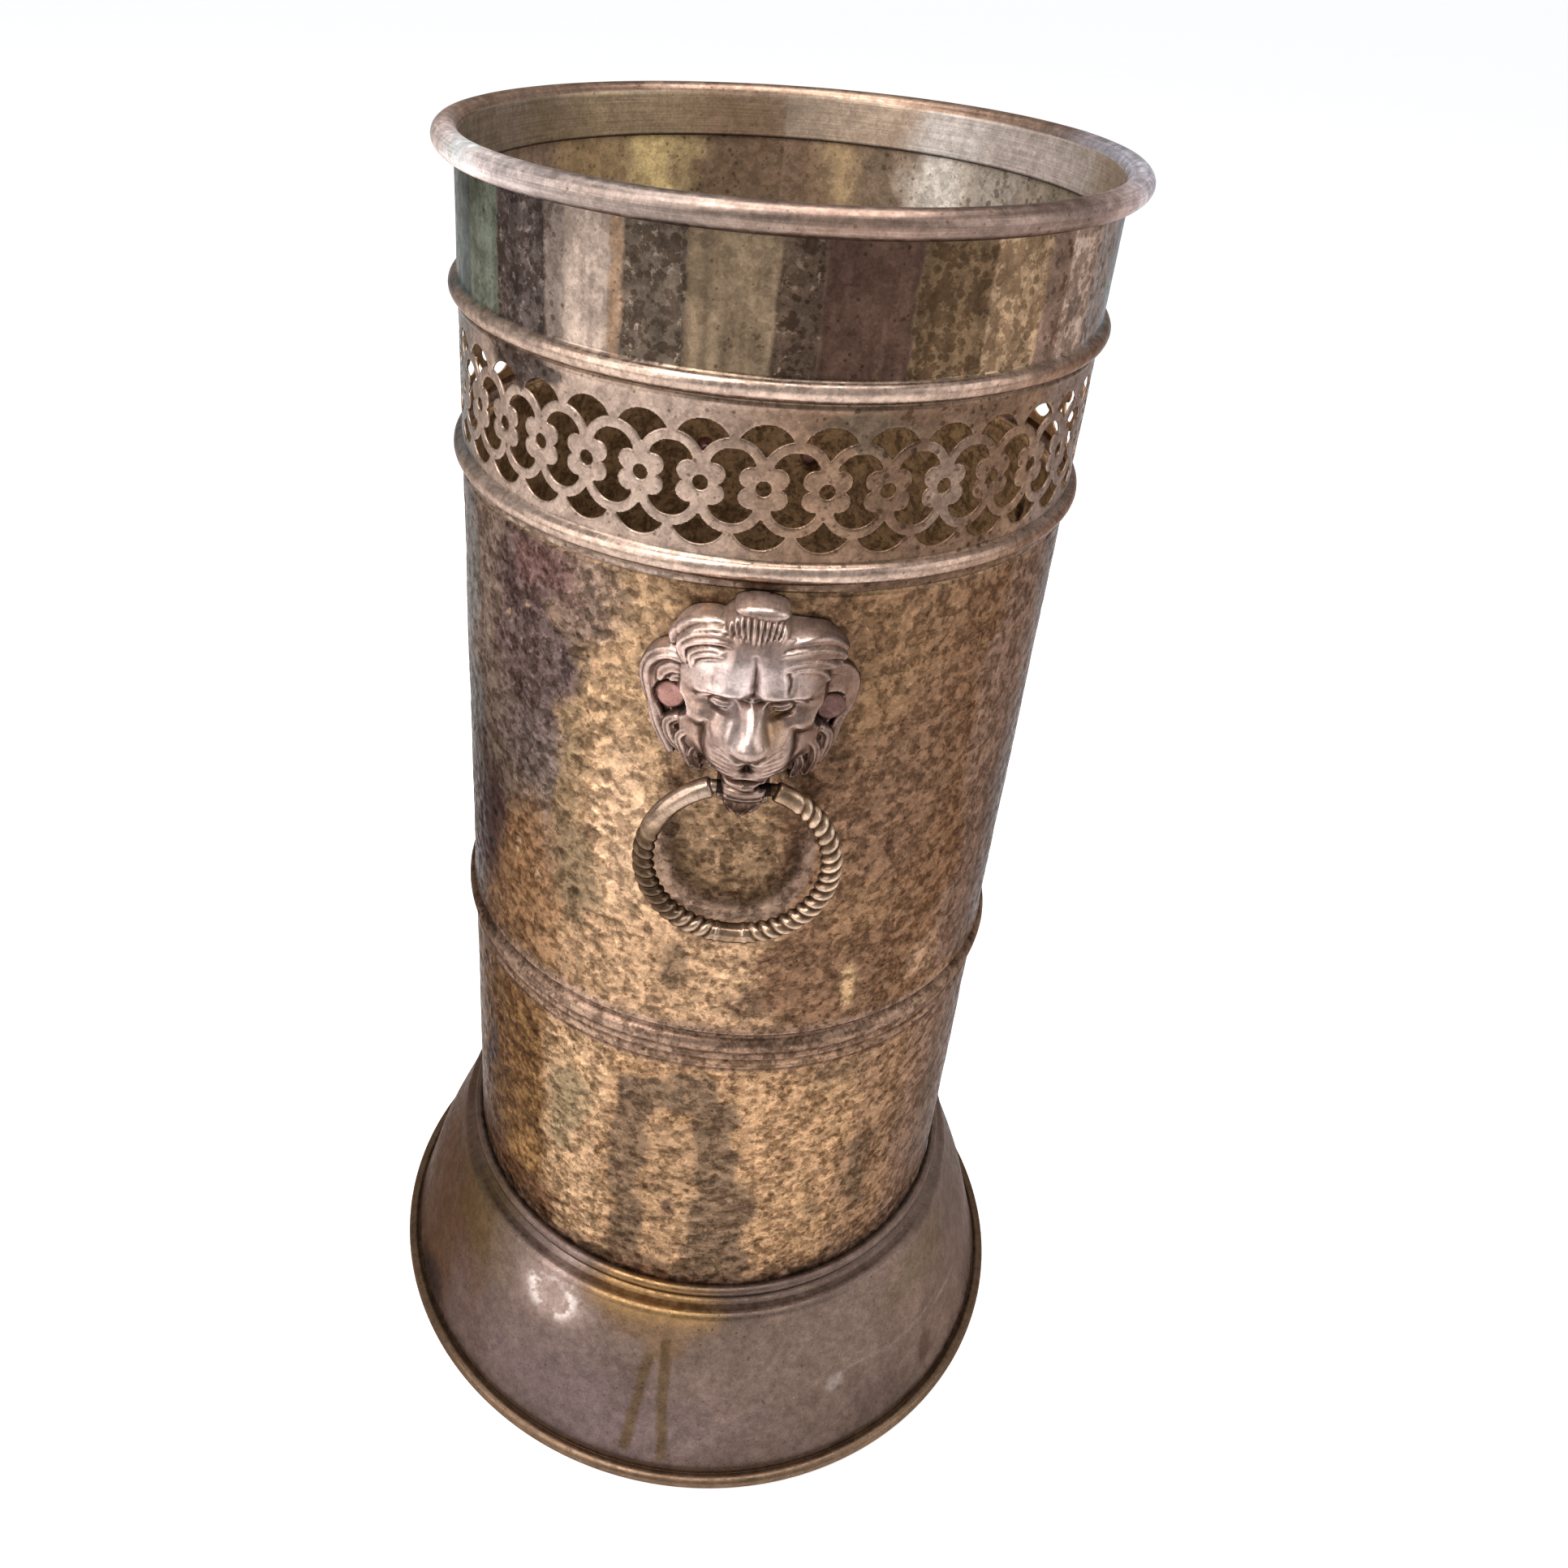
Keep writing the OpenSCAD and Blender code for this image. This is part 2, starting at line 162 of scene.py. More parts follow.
class Coat:
    """The patina, and the painted light and shade, on a piece's vertices: a colour, and how thick dark specks
    and bright flecks lie there.
    """

    def __init__(self, points, colour, speck=0.3, fleck=0.2, gloss=0.5, seed=11):
        self.x, self.y, self.z = points.reshape(-1, 3).T
        self.az = np.degrees(np.arctan2(self.x, -self.y))
        self.tone = np.tile(linear(colour), (len(self.x), 1))
        self.speck = np.full(len(self.x), float(speck))
        self.fleck = np.full(len(self.x), float(fleck))
        self.gloss = np.full(len(self.x), float(gloss))
        self.dull = np.full(len(self.x), 0.08)
        self.stray_a = self.noise(20, seed, 2)
        self.stray_z = self.noise(20, seed + 20, 2)
        self.fray_a = self.noise(4.5, seed + 40, 3)
        self.fray_z = self.noise(4.5, seed + 60, 3)

    def noise(self, cell, seed, octaves=3, tall=1.0):
        return noise(self.x, self.y, self.z / tall, cell, seed, octaves)

    def wash(self, mask, colour=None, speck=None, fleck=None, gloss=None, dull=None):
        """Moves what is given towards its new value, as far as the mask says."""
        if colour is not None:
            self.tone += (linear(colour) - self.tone) * np.reshape(mask, (-1, 1))
        for name, goal in (("speck", speck), ("fleck", fleck), ("gloss", gloss), ("dull", dull)):
            if goal is not None:
                old = getattr(self, name)
                setattr(self, name, old + (goal - old) * mask)

    def washes(self, rows, within=1.0):
        """Washes one patch after another: a row is a mask, then a colour and amounts as wash takes them."""
        for mask, *paint in rows:
            self.wash(mask * within, *paint)

    def scale(self, factor):
        self.tone *= np.reshape(factor, (-1, 1))

    def strayed(self, rag, fray):
        a = self.az + (self.stray_a * rag + self.fray_a * fray) / MM_PER_DEG
        return a, self.z + self.stray_z * rag + self.fray_z * fray

    def panel(self, az, z, soft=2.0, rag=4.0, fray=1.6):
        """Mask of a patch between two azimuths and two heights.

        Its edges wander by rag millimetres and are frayed by fray millimetres."""
        a, h = self.strayed(rag, fray)
        s = soft / MM_PER_DEG
        return (between(a, az[0] - s, az[0] + s, az[1] - s, az[1] + s)
                * between(h, z[0] - soft, z[0] + soft, z[1] - soft, z[1] + soft))

    def blob(self, az, z, half_az, half_z, soft=0.25, rag=3.0, lean=0.0, fray=1.6):
        """Mask of an oval patch; lean is how many degrees it moves for each millimetre up."""
        a, h = self.strayed(rag, fray)
        h = h - z
        q = np.hypot((a - az - lean * h) / half_az, h / half_z)
        return 1 - ramp(q, 1 - soft, 1 + soft)


# ---- meshes ----

def write_mesh(name, points, sizes, corners, coat):
    """A smooth-shaded mesh object from points in millimetres, faces of mixed size and a coat."""
    mesh = bpy.data.meshes.new(name)
    mesh.vertices.add(len(points))
    mesh.vertices.foreach_set("co", (np.asarray(points) * MM).astype(np.float32).ravel())
    mesh.loops.add(len(corners))
    mesh.loops.foreach_set("vertex_index", np.asarray(corners, np.int32))
    starts = np.concatenate([[0], np.cumsum(sizes)[:-1]]).astype(np.int32)
    mesh.polygons.add(len(sizes))
    mesh.polygons.foreach_set("loop_start", starts)
    mesh.polygons.foreach_set("use_smooth", np.ones(len(sizes), bool))
    mesh.update(calc_edges=True)
    mesh.validate()
    tones = np.pad(np.clip(GAIN * coat.tone, 0, 1), ((0, 0), (0, 1)), constant_values=1).astype(np.float32)
    mesh.attributes.new("tone", "FLOAT_COLOR", "POINT").data.foreach_set("color", tones.ravel())
    for field in ("speck", "fleck", "gloss", "dull"):
        values = np.clip(getattr(coat, field), 0, 1).astype(np.float32)
        mesh.attributes.new(field, "FLOAT", "POINT").data.foreach_set("value", values)
    piece = bpy.data.objects.new(name, mesh)
    scene.collection.objects.link(piece)
    return piece


def quads(rows, columns, wrap_rows=False, flip=False):
    """Corner indices of the quads of a grid of points, whose columns go all the way round."""
    r0, c0 = np.meshgrid(np.arange(rows if wrap_rows else rows - 1), np.arange(columns), indexing="ij")
    r1, c1 = (r0 + 1) % rows, (c0 + 1) % columns
    faces = np.stack([r0 * columns + c0, r0 * columns + c1, r1 * columns + c1, r1 * columns + c0], -1)
    faces = faces.reshape(-1, 4)
    return faces[:, ::-1] if flip else faces


def turned(radius, z, az):
    """Points at a radius, a height and an azimuth in degrees."""
    t = np.radians(az)
    return np.stack([radius * np.sin(t), -radius * np.cos(t), z + 0 * radius], -1)


def spun(points, degrees):
    """Points turned round the stand's axis."""
    t = math.radians(degrees)
    return points @ np.array([[math.cos(t), math.sin(t), 0], [-math.sin(t), math.cos(t), 0], [0, 0, 1]])


def resample(line, step):
    """Points along a polyline, no further apart than a step."""
    out = []
    for a, b in zip(line[:-1], line[1:]):
        a, b = np.array(a, float), np.array(b, float)
        n = max(1, math.ceil(np.linalg.norm(b - a) / step))
        out += [a + (b - a) * i / n for i in range(n)]
    return out + [np.array(line[-1], float)]


def fan(ring, hub):
    """Triangles that close a ring of corner indices with a hub in its middle."""
    return np.stack([np.roll(ring, -1), ring, np.full(len(ring), hub)], 1)


def closed_tube(rows, sides, flip=False):
    """Face sizes and corners of rings of points, whose ends close on the two hub points after them."""
    ring, hub = np.arange(sides), rows * sides
    walls = quads(rows, sides)
    caps = np.vstack([fan(ring, hub), fan(ring + hub - sides, hub + 1)[:, ::-1]])
    if flip:
        walls, caps = walls[:, ::-1], caps[:, ::-1]
    return np.repeat((4, 3), (len(walls), len(caps))), np.concatenate([walls.ravel(), caps.ravel()])


def arc(cx, cz, r, start, end, step=0.5):
    """Points of an arc in a sheet section, between two angles in degrees."""
    n = max(3, math.ceil(abs(math.radians(end - start)) * r / step))
    return [(cx + r * math.cos(t), cz + r * math.sin(t)) for t in np.radians(np.linspace(start, end, n))]


def lathe(name, outer, inner, columns, shape, paint):
    """A closed sheet turned round the axis: outer and inner lines run the same way.

    shape(az, z, radius, on_outer) gives how far each point moves out and up; paint(points) gives the coat."""
    section = np.vstack([outer, inner[::-1]])
    on_outer = np.arange(len(section)) < len(outer)
    az = np.arange(columns) * 360 / columns - 180
    grid_az = np.tile(az, (len(section), 1))
    radius = np.repeat(section[:, :1], columns, 1)
    height = np.repeat(section[:, 1:], columns, 1)
    out, up = shape(grid_az, height, radius, on_outer[:, None] & np.ones_like(grid_az, bool))
    points = turned(radius + out, height + up, grid_az).reshape(-1, 3)
    faces = quads(len(section), columns, wrap_rows=True, flip=True)
    return write_mesh(name, points, np.full(len(faces), 4), faces.ravel(), paint(points))


# corner and edge tokens of a marching square: corners 0..3 anticlockwise, edge 4 + k runs from corner k
SQUARES = {1: [[0, 4, 7]], 2: [[1, 5, 4]], 4: [[2, 6, 5]], 8: [[3, 7, 6]],
           3: [[0, 1, 5, 7]], 6: [[1, 2, 6, 4]], 12: [[2, 3, 7, 5]], 9: [[3, 0, 4, 6]],
           5: [[0, 4, 7], [2, 6, 5]], 10: [[1, 5, 4], [3, 7, 6]],
           7: [[0, 1, 2, 6, 7]], 14: [[1, 2, 3, 7, 4]], 13: [[2, 3, 0, 4, 5]], 11: [[3, 0, 1, 5, 6]],
           15: [[0, 1, 2, 3]]}


def cut_grid(xs, zs, field, wrap, period=0.0):
    """Cuts a grid along the zero line of a field, and keeps the side above zero.

    Returns the points (x, z), the faces as a list of index arrays, and the directed border edges."""
    rows, columns = field.shape
    inside = field > 0
    nxt = (np.arange(columns) + 1) % columns
    x_next = np.append(xs[1:], xs[0] + period)
    cells = columns if wrap else columns - 1
    # candidates: grid corners, then crossings of horizontal edges, then of vertical ones
    gx, gz = np.meshgrid(xs, zs)
    f_right = field[:, nxt]
    th = np.clip(field / np.where(field == f_right, 1, field - f_right), 0.02, 0.98)
    hx = gx + th * (np.tile(x_next, (rows, 1)) - gx)
    f_up = np.vstack([field[1:], field[-1:]])
    tv = np.clip(field / np.where(field == f_up, 1, field - f_up), 0.02, 0.98)
    vz = gz + tv * (np.vstack([gz[1:], gz[-1:]]) - gz)
    points = np.vstack([np.stack([gx.ravel(), gz.ravel()], 1), np.stack([hx.ravel(), gz.ravel()], 1),
                        np.stack([gx.ravel(), vz.ravel()], 1)])
    size = rows * columns
    r, c = np.meshgrid(np.arange(rows - 1), np.arange(cells), indexing="ij")
    c1 = nxt[c]
    token = [r * columns + c, r * columns + c1, (r + 1) * columns + c1, (r + 1) * columns + c,
             size + r * columns + c, 2 * size + r * columns + c1, size + (r + 1) * columns + c,
             2 * size + r * columns + c]
    case = (inside[r, c] * 1 + inside[r, c1] * 2 + inside[r + 1, c1] * 4 + inside[r + 1, c] * 8)
    faces, borders = [], []
    for number, shapes in SQUARES.items():
        here = case == number
        if not here.any():
            continue
        for shape in shapes:
            faces.append(np.stack([token[k][here] for k in shape], 1))
            for a, b in zip(shape, shape[1:] + shape[:1]):
                if a > 3 and b > 3:
                    borders.append(np.stack([token[a][here], token[b][here]], 1))
    for row, order in ((0, (0, 1)), (rows - 2, (2, 3))):
        first, second = token[order[0]][row], token[order[1]][row]
        edge_row = row if row == 0 else rows - 1
        kept = inside[edge_row, c[0]] & inside[edge_row, c1[0]]
        borders.append(np.stack([first[kept], second[kept]], 1))
    return points, faces, np.vstack(borders)


def shell_from_cut(name, xz, faces, borders, front, back, paint):
    """A closed sheet from a cut grid: front and back give the 3-D points of the two sides."""
    used = np.unique(np.concatenate([f.ravel() for f in faces]))
    order = np.full(len(xz), -1)
    order[used] = np.arange(len(used))
    xz = xz[used]
    n = len(used)
    points = np.vstack([front(xz[:, 0], xz[:, 1]), back(xz[:, 0], xz[:, 1])])
    edge = order[borders]
    wall = np.stack([edge[:, 1], edge[:, 0], edge[:, 0] + n, edge[:, 1] + n], 1)
    groups = [order[f] for f in faces] + [order[f][:, ::-1] + n for f in faces] + [wall]
    sizes = np.concatenate([np.full(len(g), g.shape[1]) for g in groups])
    corners = np.concatenate([g.ravel() for g in groups])
    return write_mesh(name, points, sizes, corners, paint(points))


# ---- hammering ----

def hammer(az, z, wide, tall, seed):
    """Overlapping dishes left by a planishing hammer, in columns that wander.

    Gives the height in dish depths (0 at the bottom of a full dish, about 1 on the ridges between them)
    and how far above its dish's middle a point lies."""
    columns = round(360 * MM_PER_DEG / wide)
    p = turned(WALL_R, z, az)
    u = (az + 180) / 360 * columns + 0.55 * noise_at(p, 30, seed, 2)
    v = z / tall + 0.6 * noise_at(p, 26, seed + 7, 2)
    random = np.random.default_rng(seed).random((columns, 160, 4)) - 0.5
    best = np.full(u.shape, 9.0)
    rise, depth = np.zeros(u.shape), np.ones(u.shape)
    iu, iv = np.floor(u).astype(int), np.floor(v).astype(int)
    for du in (-1, 0, 1):
        for dv in (-1, 0, 1):
            cu, cv = iu + du, iv + dv
            r = random[cu % columns, cv % 160]
            size = 1 + 0.7 * r[..., 2]
            pu = u - (cu + 0.5 + 0.6 * r[..., 0])
            pv = v - (cv + 0.25 + 0.5 * (cu % 2) + 0.7 * r[..., 1])
            d = (pu * pu + pv * pv) / size
            closer = d < best
            best = np.where(closer, d, best)
            rise = np.where(closer, pv, rise)
            depth = np.where(closer, np.clip(0.75 + 1.4 * r[..., 3], 0.1, 1.4), depth)
    return 1 - depth * (1 - np.clip(best * 2.2, 0, 1)), rise * depth


# ---- materials ----

class Shader:
    """Builds one material's nodes; every method returns an output socket."""

    def __init__(self, name):
        self.material = bpy.data.materials.new(name)
        self.material.use_nodes = True
        self.tree = self.material.node_tree
        self.tree.nodes.clear()
        self.output = self.tree.nodes.new("ShaderNodeOutputMaterial")
        self.object_space = self.tree.nodes.new("ShaderNodeTexCoord").outputs["Object"]

    def node(self, kind, inputs=(), **settings):
        made = self.tree.nodes.new(kind)
        for key, value in settings.items():
            setattr(made, key, value)
        for key, value in dict(inputs).items():
            if isinstance(value, bpy.types.NodeSocket):
                self.tree.links.new(value, made.inputs[key])
            else:
                made.inputs[key].default_value = value
        return made

    def attribute(self, name, output="Fac"):
        return self.node("ShaderNodeAttribute", attribute_name=name).outputs[output]

    def space(self, stretch):
        return self.node("ShaderNodeMapping", {"Vector": self.object_space, "Scale": stretch}).outputs[0]

    def noise(self, size, detail=3.0, rough=0.55, stretch=None, distortion=0.0):
        """Noise from 0 to 1; size is the width of its largest features in millimetres."""
        vector = self.space(stretch) if stretch else self.object_space
        return self.node("ShaderNodeTexNoise", {"Vector": vector, "Scale": 1 / (size * MM), "Detail": detail,
                                                "Roughness": rough, "Distortion": distortion}).outputs[0]

    def cells(self, size, output="Distance"):
        """Scattered cells of a width in millimetres: distance from their middles, or each one's colour."""
        return self.node("ShaderNodeTexVoronoi", {"Vector": self.object_space, "Scale": 1 / (size * MM)},
                         feature="F1").outputs[output]

    def math(self, operation, a, b=0.0, clamp=False):
        return self.node("ShaderNodeMath", {0: a, 1: b}, operation=operation, use_clamp=clamp).outputs[0]

    def times(self, a, b):
        return self.math("MULTIPLY", a, b)

    def plus(self, a, b):
        return self.math("ADD", a, b)

    def minus(self, a, b, clamp=False):
        return self.math("SUBTRACT", a, b, clamp)

    def ramp(self, value, start, end, low_value=0.0, high_value=1.0):
        return self.node("ShaderNodeMapRange",
                         {"Value": value, "From Min": start, "From Max": end, "To Min": low_value,
                          "To Max": high_value}, interpolation_type="SMOOTHSTEP").outputs[0]

    def mix(self, factor, a, b, blend="MIX"):
        made = self.node("ShaderNodeMix", data_type="RGBA", blend_type=blend)
        for index, value in ((0, factor), (6, a), (7, b)):
            if isinstance(value, bpy.types.NodeSocket):
                self.tree.links.new(value, made.inputs[index])
            else:
                made.inputs[index].default_value = value
        return made.outputs[2]

    def bump(self, height, distance):
        inputs = {"Height": height, "Distance": distance * MM, "Strength": 1.0}
        return self.node("ShaderNodeBump", inputs).outputs[0]

    def finish(self, **inputs):
        shader = self.node("ShaderNodeBsdfPrincipled", {k.replace("_", " "): v for k, v in inputs.items()})
        self.tree.links.new(shader.outputs[0], self.output.inputs[0])
        return self.material


def rgba(rgb):
    return (*linear(rgb), 1.0)


def aged_metal(name, tone=None, other_tone=None, dark=(0.52, 0.46, 0.42, 1), pale=(1.55, 1.5, 1.4, 1),
               spot_size=3.4, rough=(0.26, 0.52), brushed=0.0, pits=0.02, mottle=0.4, speck=0.3, fleck=0.2):
    """Tarnished metal: a patina colour under dark specks and polished flecks, with fine grain and scratches.

    Without a tone the colours come from the piece's own coat."""
    s = Shader(name)
    if tone is None:
        base, specks, flecks = s.attribute("tone", "Color"), s.attribute("speck"), s.attribute("fleck")
        gloss, dull = s.attribute("gloss"), s.attribute("dull")
    else:
        base = s.mix(s.ramp(s.noise(14, 4), 0.35, 0.65), rgba(tone), rgba(other_tone))
        specks, flecks, gloss, dull = speck, fleck, 0.5, 0.3
    # round spots of many sizes, and ragged blots
    wobble = s.noise(1.6, 3)
    distance = s.plus(s.cells(spot_size), s.times(wobble, 0.35))
    chance = s.cells(spot_size, output="Color")
    size = s.times(s.times(specks, 0.62), s.ramp(chance, 0.05, 0.9))
    spots = s.minus(1.0, s.ramp(s.minus(distance, size), 0.10, 0.22))
    blot = s.noise(5.5, 5, 0.68)
    limit = s.minus(0.74, s.times(specks, 0.26))
    blots = s.ramp(s.minus(blot, limit), 0.0, 0.05)
    dark_mask = s.math("MAXIMUM", s.times(spots, 0.8), s.times(blots, 0.75), clamp=True)
    chip = s.noise(2.6, 4, 0.62, distortion=0.3)
    chip_limit = s.minus(0.76, s.times(flecks, 0.24))
    pale_mask = s.ramp(s.minus(chip, chip_limit), 0.0, 0.06)
    shaded = s.mix(1.0, base, dark, "MULTIPLY")
    rubbed = s.mix(1.0, s.mix(1.0, base, pale, "MULTIPLY"), (0.03, 0.026, 0.024, 1), "ADD")
    colour = s.mix(s.times(dark_mask, 0.9), base, shaded)
    colour = s.mix(s.times(pale_mask, 0.85), colour, rubbed)
    patches = s.ramp(s.noise(5.2, 5, 0.62, distortion=0.3), 0.47, 0.53)
    crumbs = s.ramp(s.noise(2.1, 4, 0.6, distortion=0.2), 0.46, 0.54)
    both = s.plus(s.times(patches, 0.6), s.times(crumbs, 0.4))
    colour = s.mix(mottle, colour, s.mix(both, (0.54, 0.50, 0.46, 1), (1.50, 1.48, 1.45, 1)), "MULTIPLY")
    grain = s.noise(0.9, 4, 0.7)
    colour = s.mix(1.0, colour, s.ramp(grain, 0.25, 0.75, 0.80, 1.18), "MULTIPLY")
    cloud = s.ramp(s.noise(9, 4, 0.6), 0.3, 0.7, 0.90, 1.10)
    colour = s.mix(1.0, colour, cloud, "MULTIPLY")
    height = s.minus(s.times(grain, 0.35), s.times(dark_mask, 0.5))
    height = s.plus(height, s.times(both, 0.9 * mottle))
    roughness = s.plus(s.times(dark_mask, 0.16), s.ramp(s.noise(3, 4), 0.3, 0.7, *rough))
    roughness = s.minus(roughness, s.times(pale_mask, 0.08))
    roughness = s.minus(roughness, s.times(s.minus(gloss, 0.5), 0.3), clamp=True)
    if brushed:
        lines = s.noise(34, 2, 0.6, stretch=(1, 1, 70))
        colour = s.mix(brushed, colour, s.ramp(lines, 0.35, 0.65, 0.72, 1.25), "MULTIPLY")
        height = s.plus(height, s.times(lines, brushed))
    normal = s.bump(height, pits)
    return s.finish(Base_Color=colour, Metallic=s.minus(1.0, dull), Roughness=roughness, Normal=normal,
                    Specular_Tint=(0.4, 0.37, 0.36, 1.0))


def assign(piece, material):
    """Gives a piece one material and no other."""
    piece.data.materials.clear()
    piece.data.materials.append(material)


def place(piece, body, slot, material, *nodes):
    """Puts a finished piece on its body, in the place of its CAD nodes."""
    assign(piece, material)
    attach(piece, body)
    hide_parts(*nodes)
    return piece


def bead(z, centre, half, out):
    """How far a rolled bead stands off the sheet at a height."""
    r = (half * half + out * out) / (2 * out)
    rise = np.sqrt(np.clip(r * r - (z - centre) ** 2, 0, None)) - (r - out)
    return np.clip(rise, 0, None)


def ridge(z, centre, half=0.55, out=0.4):
    """How far a thin raised line stands off the sheet."""
    return out * hump(z, centre, half)


def heights(start, end, fine_ranges, coarse, fine=0.45):
    """Rows from start up to end, close together inside the fine ranges."""
    rows = [start]
    while rows[-1] < end - 1e-6:
        z = rows[-1]
        near = any(a - 0.01 <= z < b for a, b in fine_ranges)
        step = fine if near else coarse
        for a, _ in fine_ranges:
            if z < a < z + step:
                step = a - z
        rows.append(min(z + max(step, 0.05), end))
    return np.array(rows)


# ---- gallery band ----

HOLE_R, OVAL_HALF, OVAL_IN, OVAL_OUT = 2.2, 4.3, 6.7, 9.8
FAN_AT, FAN_R = 10.05, 8.25
HEART_R, PETAL_R = 4.6, 3.2
PETALS = ((3.7, 2.9), (-3.7, 2.9), (3.7, -2.9), (-3.7, -2.9), (0, 4.5), (0, -4.5))


def oval(u, v, r):
    return np.hypot(u, np.maximum(np.abs(v) - OVAL_HALF, 0)) - r


def flower(u, v):
    d = np.hypot(u, v) - HEART_R
    for pu, pv in PETALS:
        d = np.minimum(d, np.hypot(u - pu, v - pv) - PETAL_R)
    return d


def solid_of_gallery(az, z):
    """Distance into the metal of the pierced gallery; negative in its openings."""
    pitch = 2 * math.pi * WALL_R / LINKS
    u = ((az - GALLERY_TURN) * MM_PER_DEG + pitch / 2) % pitch - pitch / 2
    v = z - GALLERY_Z
    hole = np.hypot(u, v) - HOLE_R
    side = np.abs(u) - pitch / 2
    in_link = np.maximum(oval(side, v, OVAL_IN), -flower(u, v))
    in_fan = np.maximum(np.hypot(u, np.abs(v) - FAN_AT) - FAN_R, -oval(side, v, OVAL_OUT))
    return np.minimum(hole, np.minimum(in_link, in_fan))


COLLAR_Z, INNER_Z = (455, 494), (440, 494)

# stretches of the smooth collar, from the left edge to the right, partly tarnish and partly painted
# reflections of the room: azimuths, colour, specks, flecks
COLLAR = (
    ((-76, -62), (120, 132, 130), 0.15, 0.05), ((-62, -51), (128, 134, 120), 0.35, 0.15),
    ((-51, -39), (104, 92, 88), 0.9, 0.8), ((-39, -35), (150, 134, 124), 0.6, 0.2),
    ((-35, -26.5), (186, 166, 152), 0.25, 0.1), ((-26.5, -24.5), (182, 150, 124), 0.3, 0.1),
    ((-24.5, -14.5), (112, 98, 86), 1.0, 0.65), ((-14.5, -1.5), (138, 118, 96), 0.3, 0.2),
    ((-1.5, 5), (90, 74, 62), 0.9, 0.7), ((5, 19), (90, 68, 58), 0.35, 0.08),
    ((19, 31), (118, 95, 72), 0.95, 0.1), ((31, 42.5), (172, 143, 114), 1.0, 0.15),
    ((42.5, 48), (142, 116, 102), 0.7, 0.2), ((48, 57), (206, 180, 164), 1.0, 0.3),
    ((57, 66), (174, 160, 154), 0.7, 0.3), ((66, 78), (152, 156, 158), 0.1, 0.05),
)

# stretches of the wall inside, the pale one at 139 to 151 degrees being a painted highlight: azimuths,
# colour, specks
INNER_WALL = (
    ((100, 122), (160, 148, 128), 0.5), ((122, 139), (194, 182, 168), 0.7),
    ((139, 151), (238, 230, 218), 0.3), ((151, 163), (156, 134, 112), 0.6),
    ((163, 175), (206, 176, 136), 0.3), ((175, 180), (150, 122, 98), 0.5),
    ((-180, -160), (146, 120, 96), 0.5), ((-160, -148), (250, 220, 158), 0.4),
    ((-148, -128), (186, 156, 116), 0.5),
)


def paint_band(points):
    c = Coat(points, (150, 128, 108), 0.3, 0.25, 0.6)
    inside = np.hypot(c.x, c.y) < WALL_R - SHEET / 2
    outside = ~inside
    # vertical stretches of the smooth collar, round the back as well
    streak = noise(c.az / 9, 0 * c.az, c.z / 400, 1, 5, 2)
    c.wash(ramp(streak, 0.0, 0.5) * 0.7, (112, 94, 78), speck=0.6)
    c.wash(ramp(-streak, 0.15, 0.6) * 0.7, (182, 156, 130), speck=0.25)
    # the front's stretches: partly tarnish, partly painted reflections of the room
    for az, *paint in COLLAR:
        c.wash(c.panel(az, COLLAR_Z, 0.7, 0.4, 0.6) * outside, *paint)
    # they are streaked from top to bottom, and have painted shade close under the rim
    streaks = noise(c.az / 1.6, 0 * c.az, c.z / 120, 1, 15, 3)
    c.scale(1 + (0.22 * streaks + 0.22 * c.noise(10, 16, 4)) * outside)
    c.scale(1 - 0.22 * ramp(c.z, 468, 490) * ramp(-c.az, -5, 30) * outside)
    # the plate under the upper bead, and the gallery; the grey at the far left is a painted reflection
    plate = ramp(c.z, 450, 447)
    c.washes((
        (plate, (178, 156, 142), 0.35, 0.16),
        (plate * ramp(c.az, -20, 8), (142, 114, 94), 0.45, 0.2),
        (plate * between(c.az, 8, 20, 38, 46), (116, 91, 74), 0.6, 0.3),
        (plate * ramp(c.az, 44, 54), (150, 130, 120), 0.4, 0.3),
        (plate * between(c.az, -96, -80, -72, -56), (150, 148, 144), 0.3, 0.1),
        (c.blob(-45, 444, 9, 4.5), (98, 86, 80), 0.8, 0.5),
        (c.blob(14, 440, 8, 5), (112, 94, 78), 0.6, 0.2),
        (c.blob(29, 425, 5, 16, 0.4) * 0.6, (150, 128, 114), 0.3, 0.5),
    ), outside)
    # painted highlight along each bead's crest, painted darker at the right, a grey painted reflection at the
    # far left, and painted shade just under each bead
    for centre in (UPPER_BEAD, LOWER_BEAD):
        crest = bead(c.z, centre, BEAD_HALF, BEAD_OUT) / BEAD_OUT
        c.washes((
            (crest, (206, 180, 164), 0.12, 0.3, 0.75),
            (crest * ramp(c.az, 5, 50), (150, 118, 100), 0.3, 0.35),
            (crest * between(c.az, -96, -82, -76, -62), (120, 116, 116)),
            (hump(c.z, centre - BEAD_HALF - 0.6, 0.8) * 0.75, (96, 74, 60), 0.5),
        ), outside)
    c.wash(c.panel((-180, 180), (JOINT_Z, JOINT_Z + 1.2), 0.4, 0.4) * 0.6, (80, 60, 48), 0.4)
    # the wall inside, seen over the rim and through the openings, with a painted highlight on a pale upright
    # stretch
    c.wash(inside, (164, 138, 116), 0.4, 0.2, 0.4, 0.6)
    for az, *paint in INNER_WALL:
        c.wash(c.panel(az, INNER_Z, 9, 6, 3) * inside, *paint)
    c.scale(1 + 0.3 * inside * c.panel((136, 154), INNER_Z, 9, 5, 3))
    c.wash(inside * ramp(c.z, 446, 436), (168, 128, 92), 0.5, 0.1)
    return c


BAND_COLUMNS, BARREL_COLUMNS, RIM_COLUMNS, FOOT_COLUMNS = 1290, 540, 720, 640


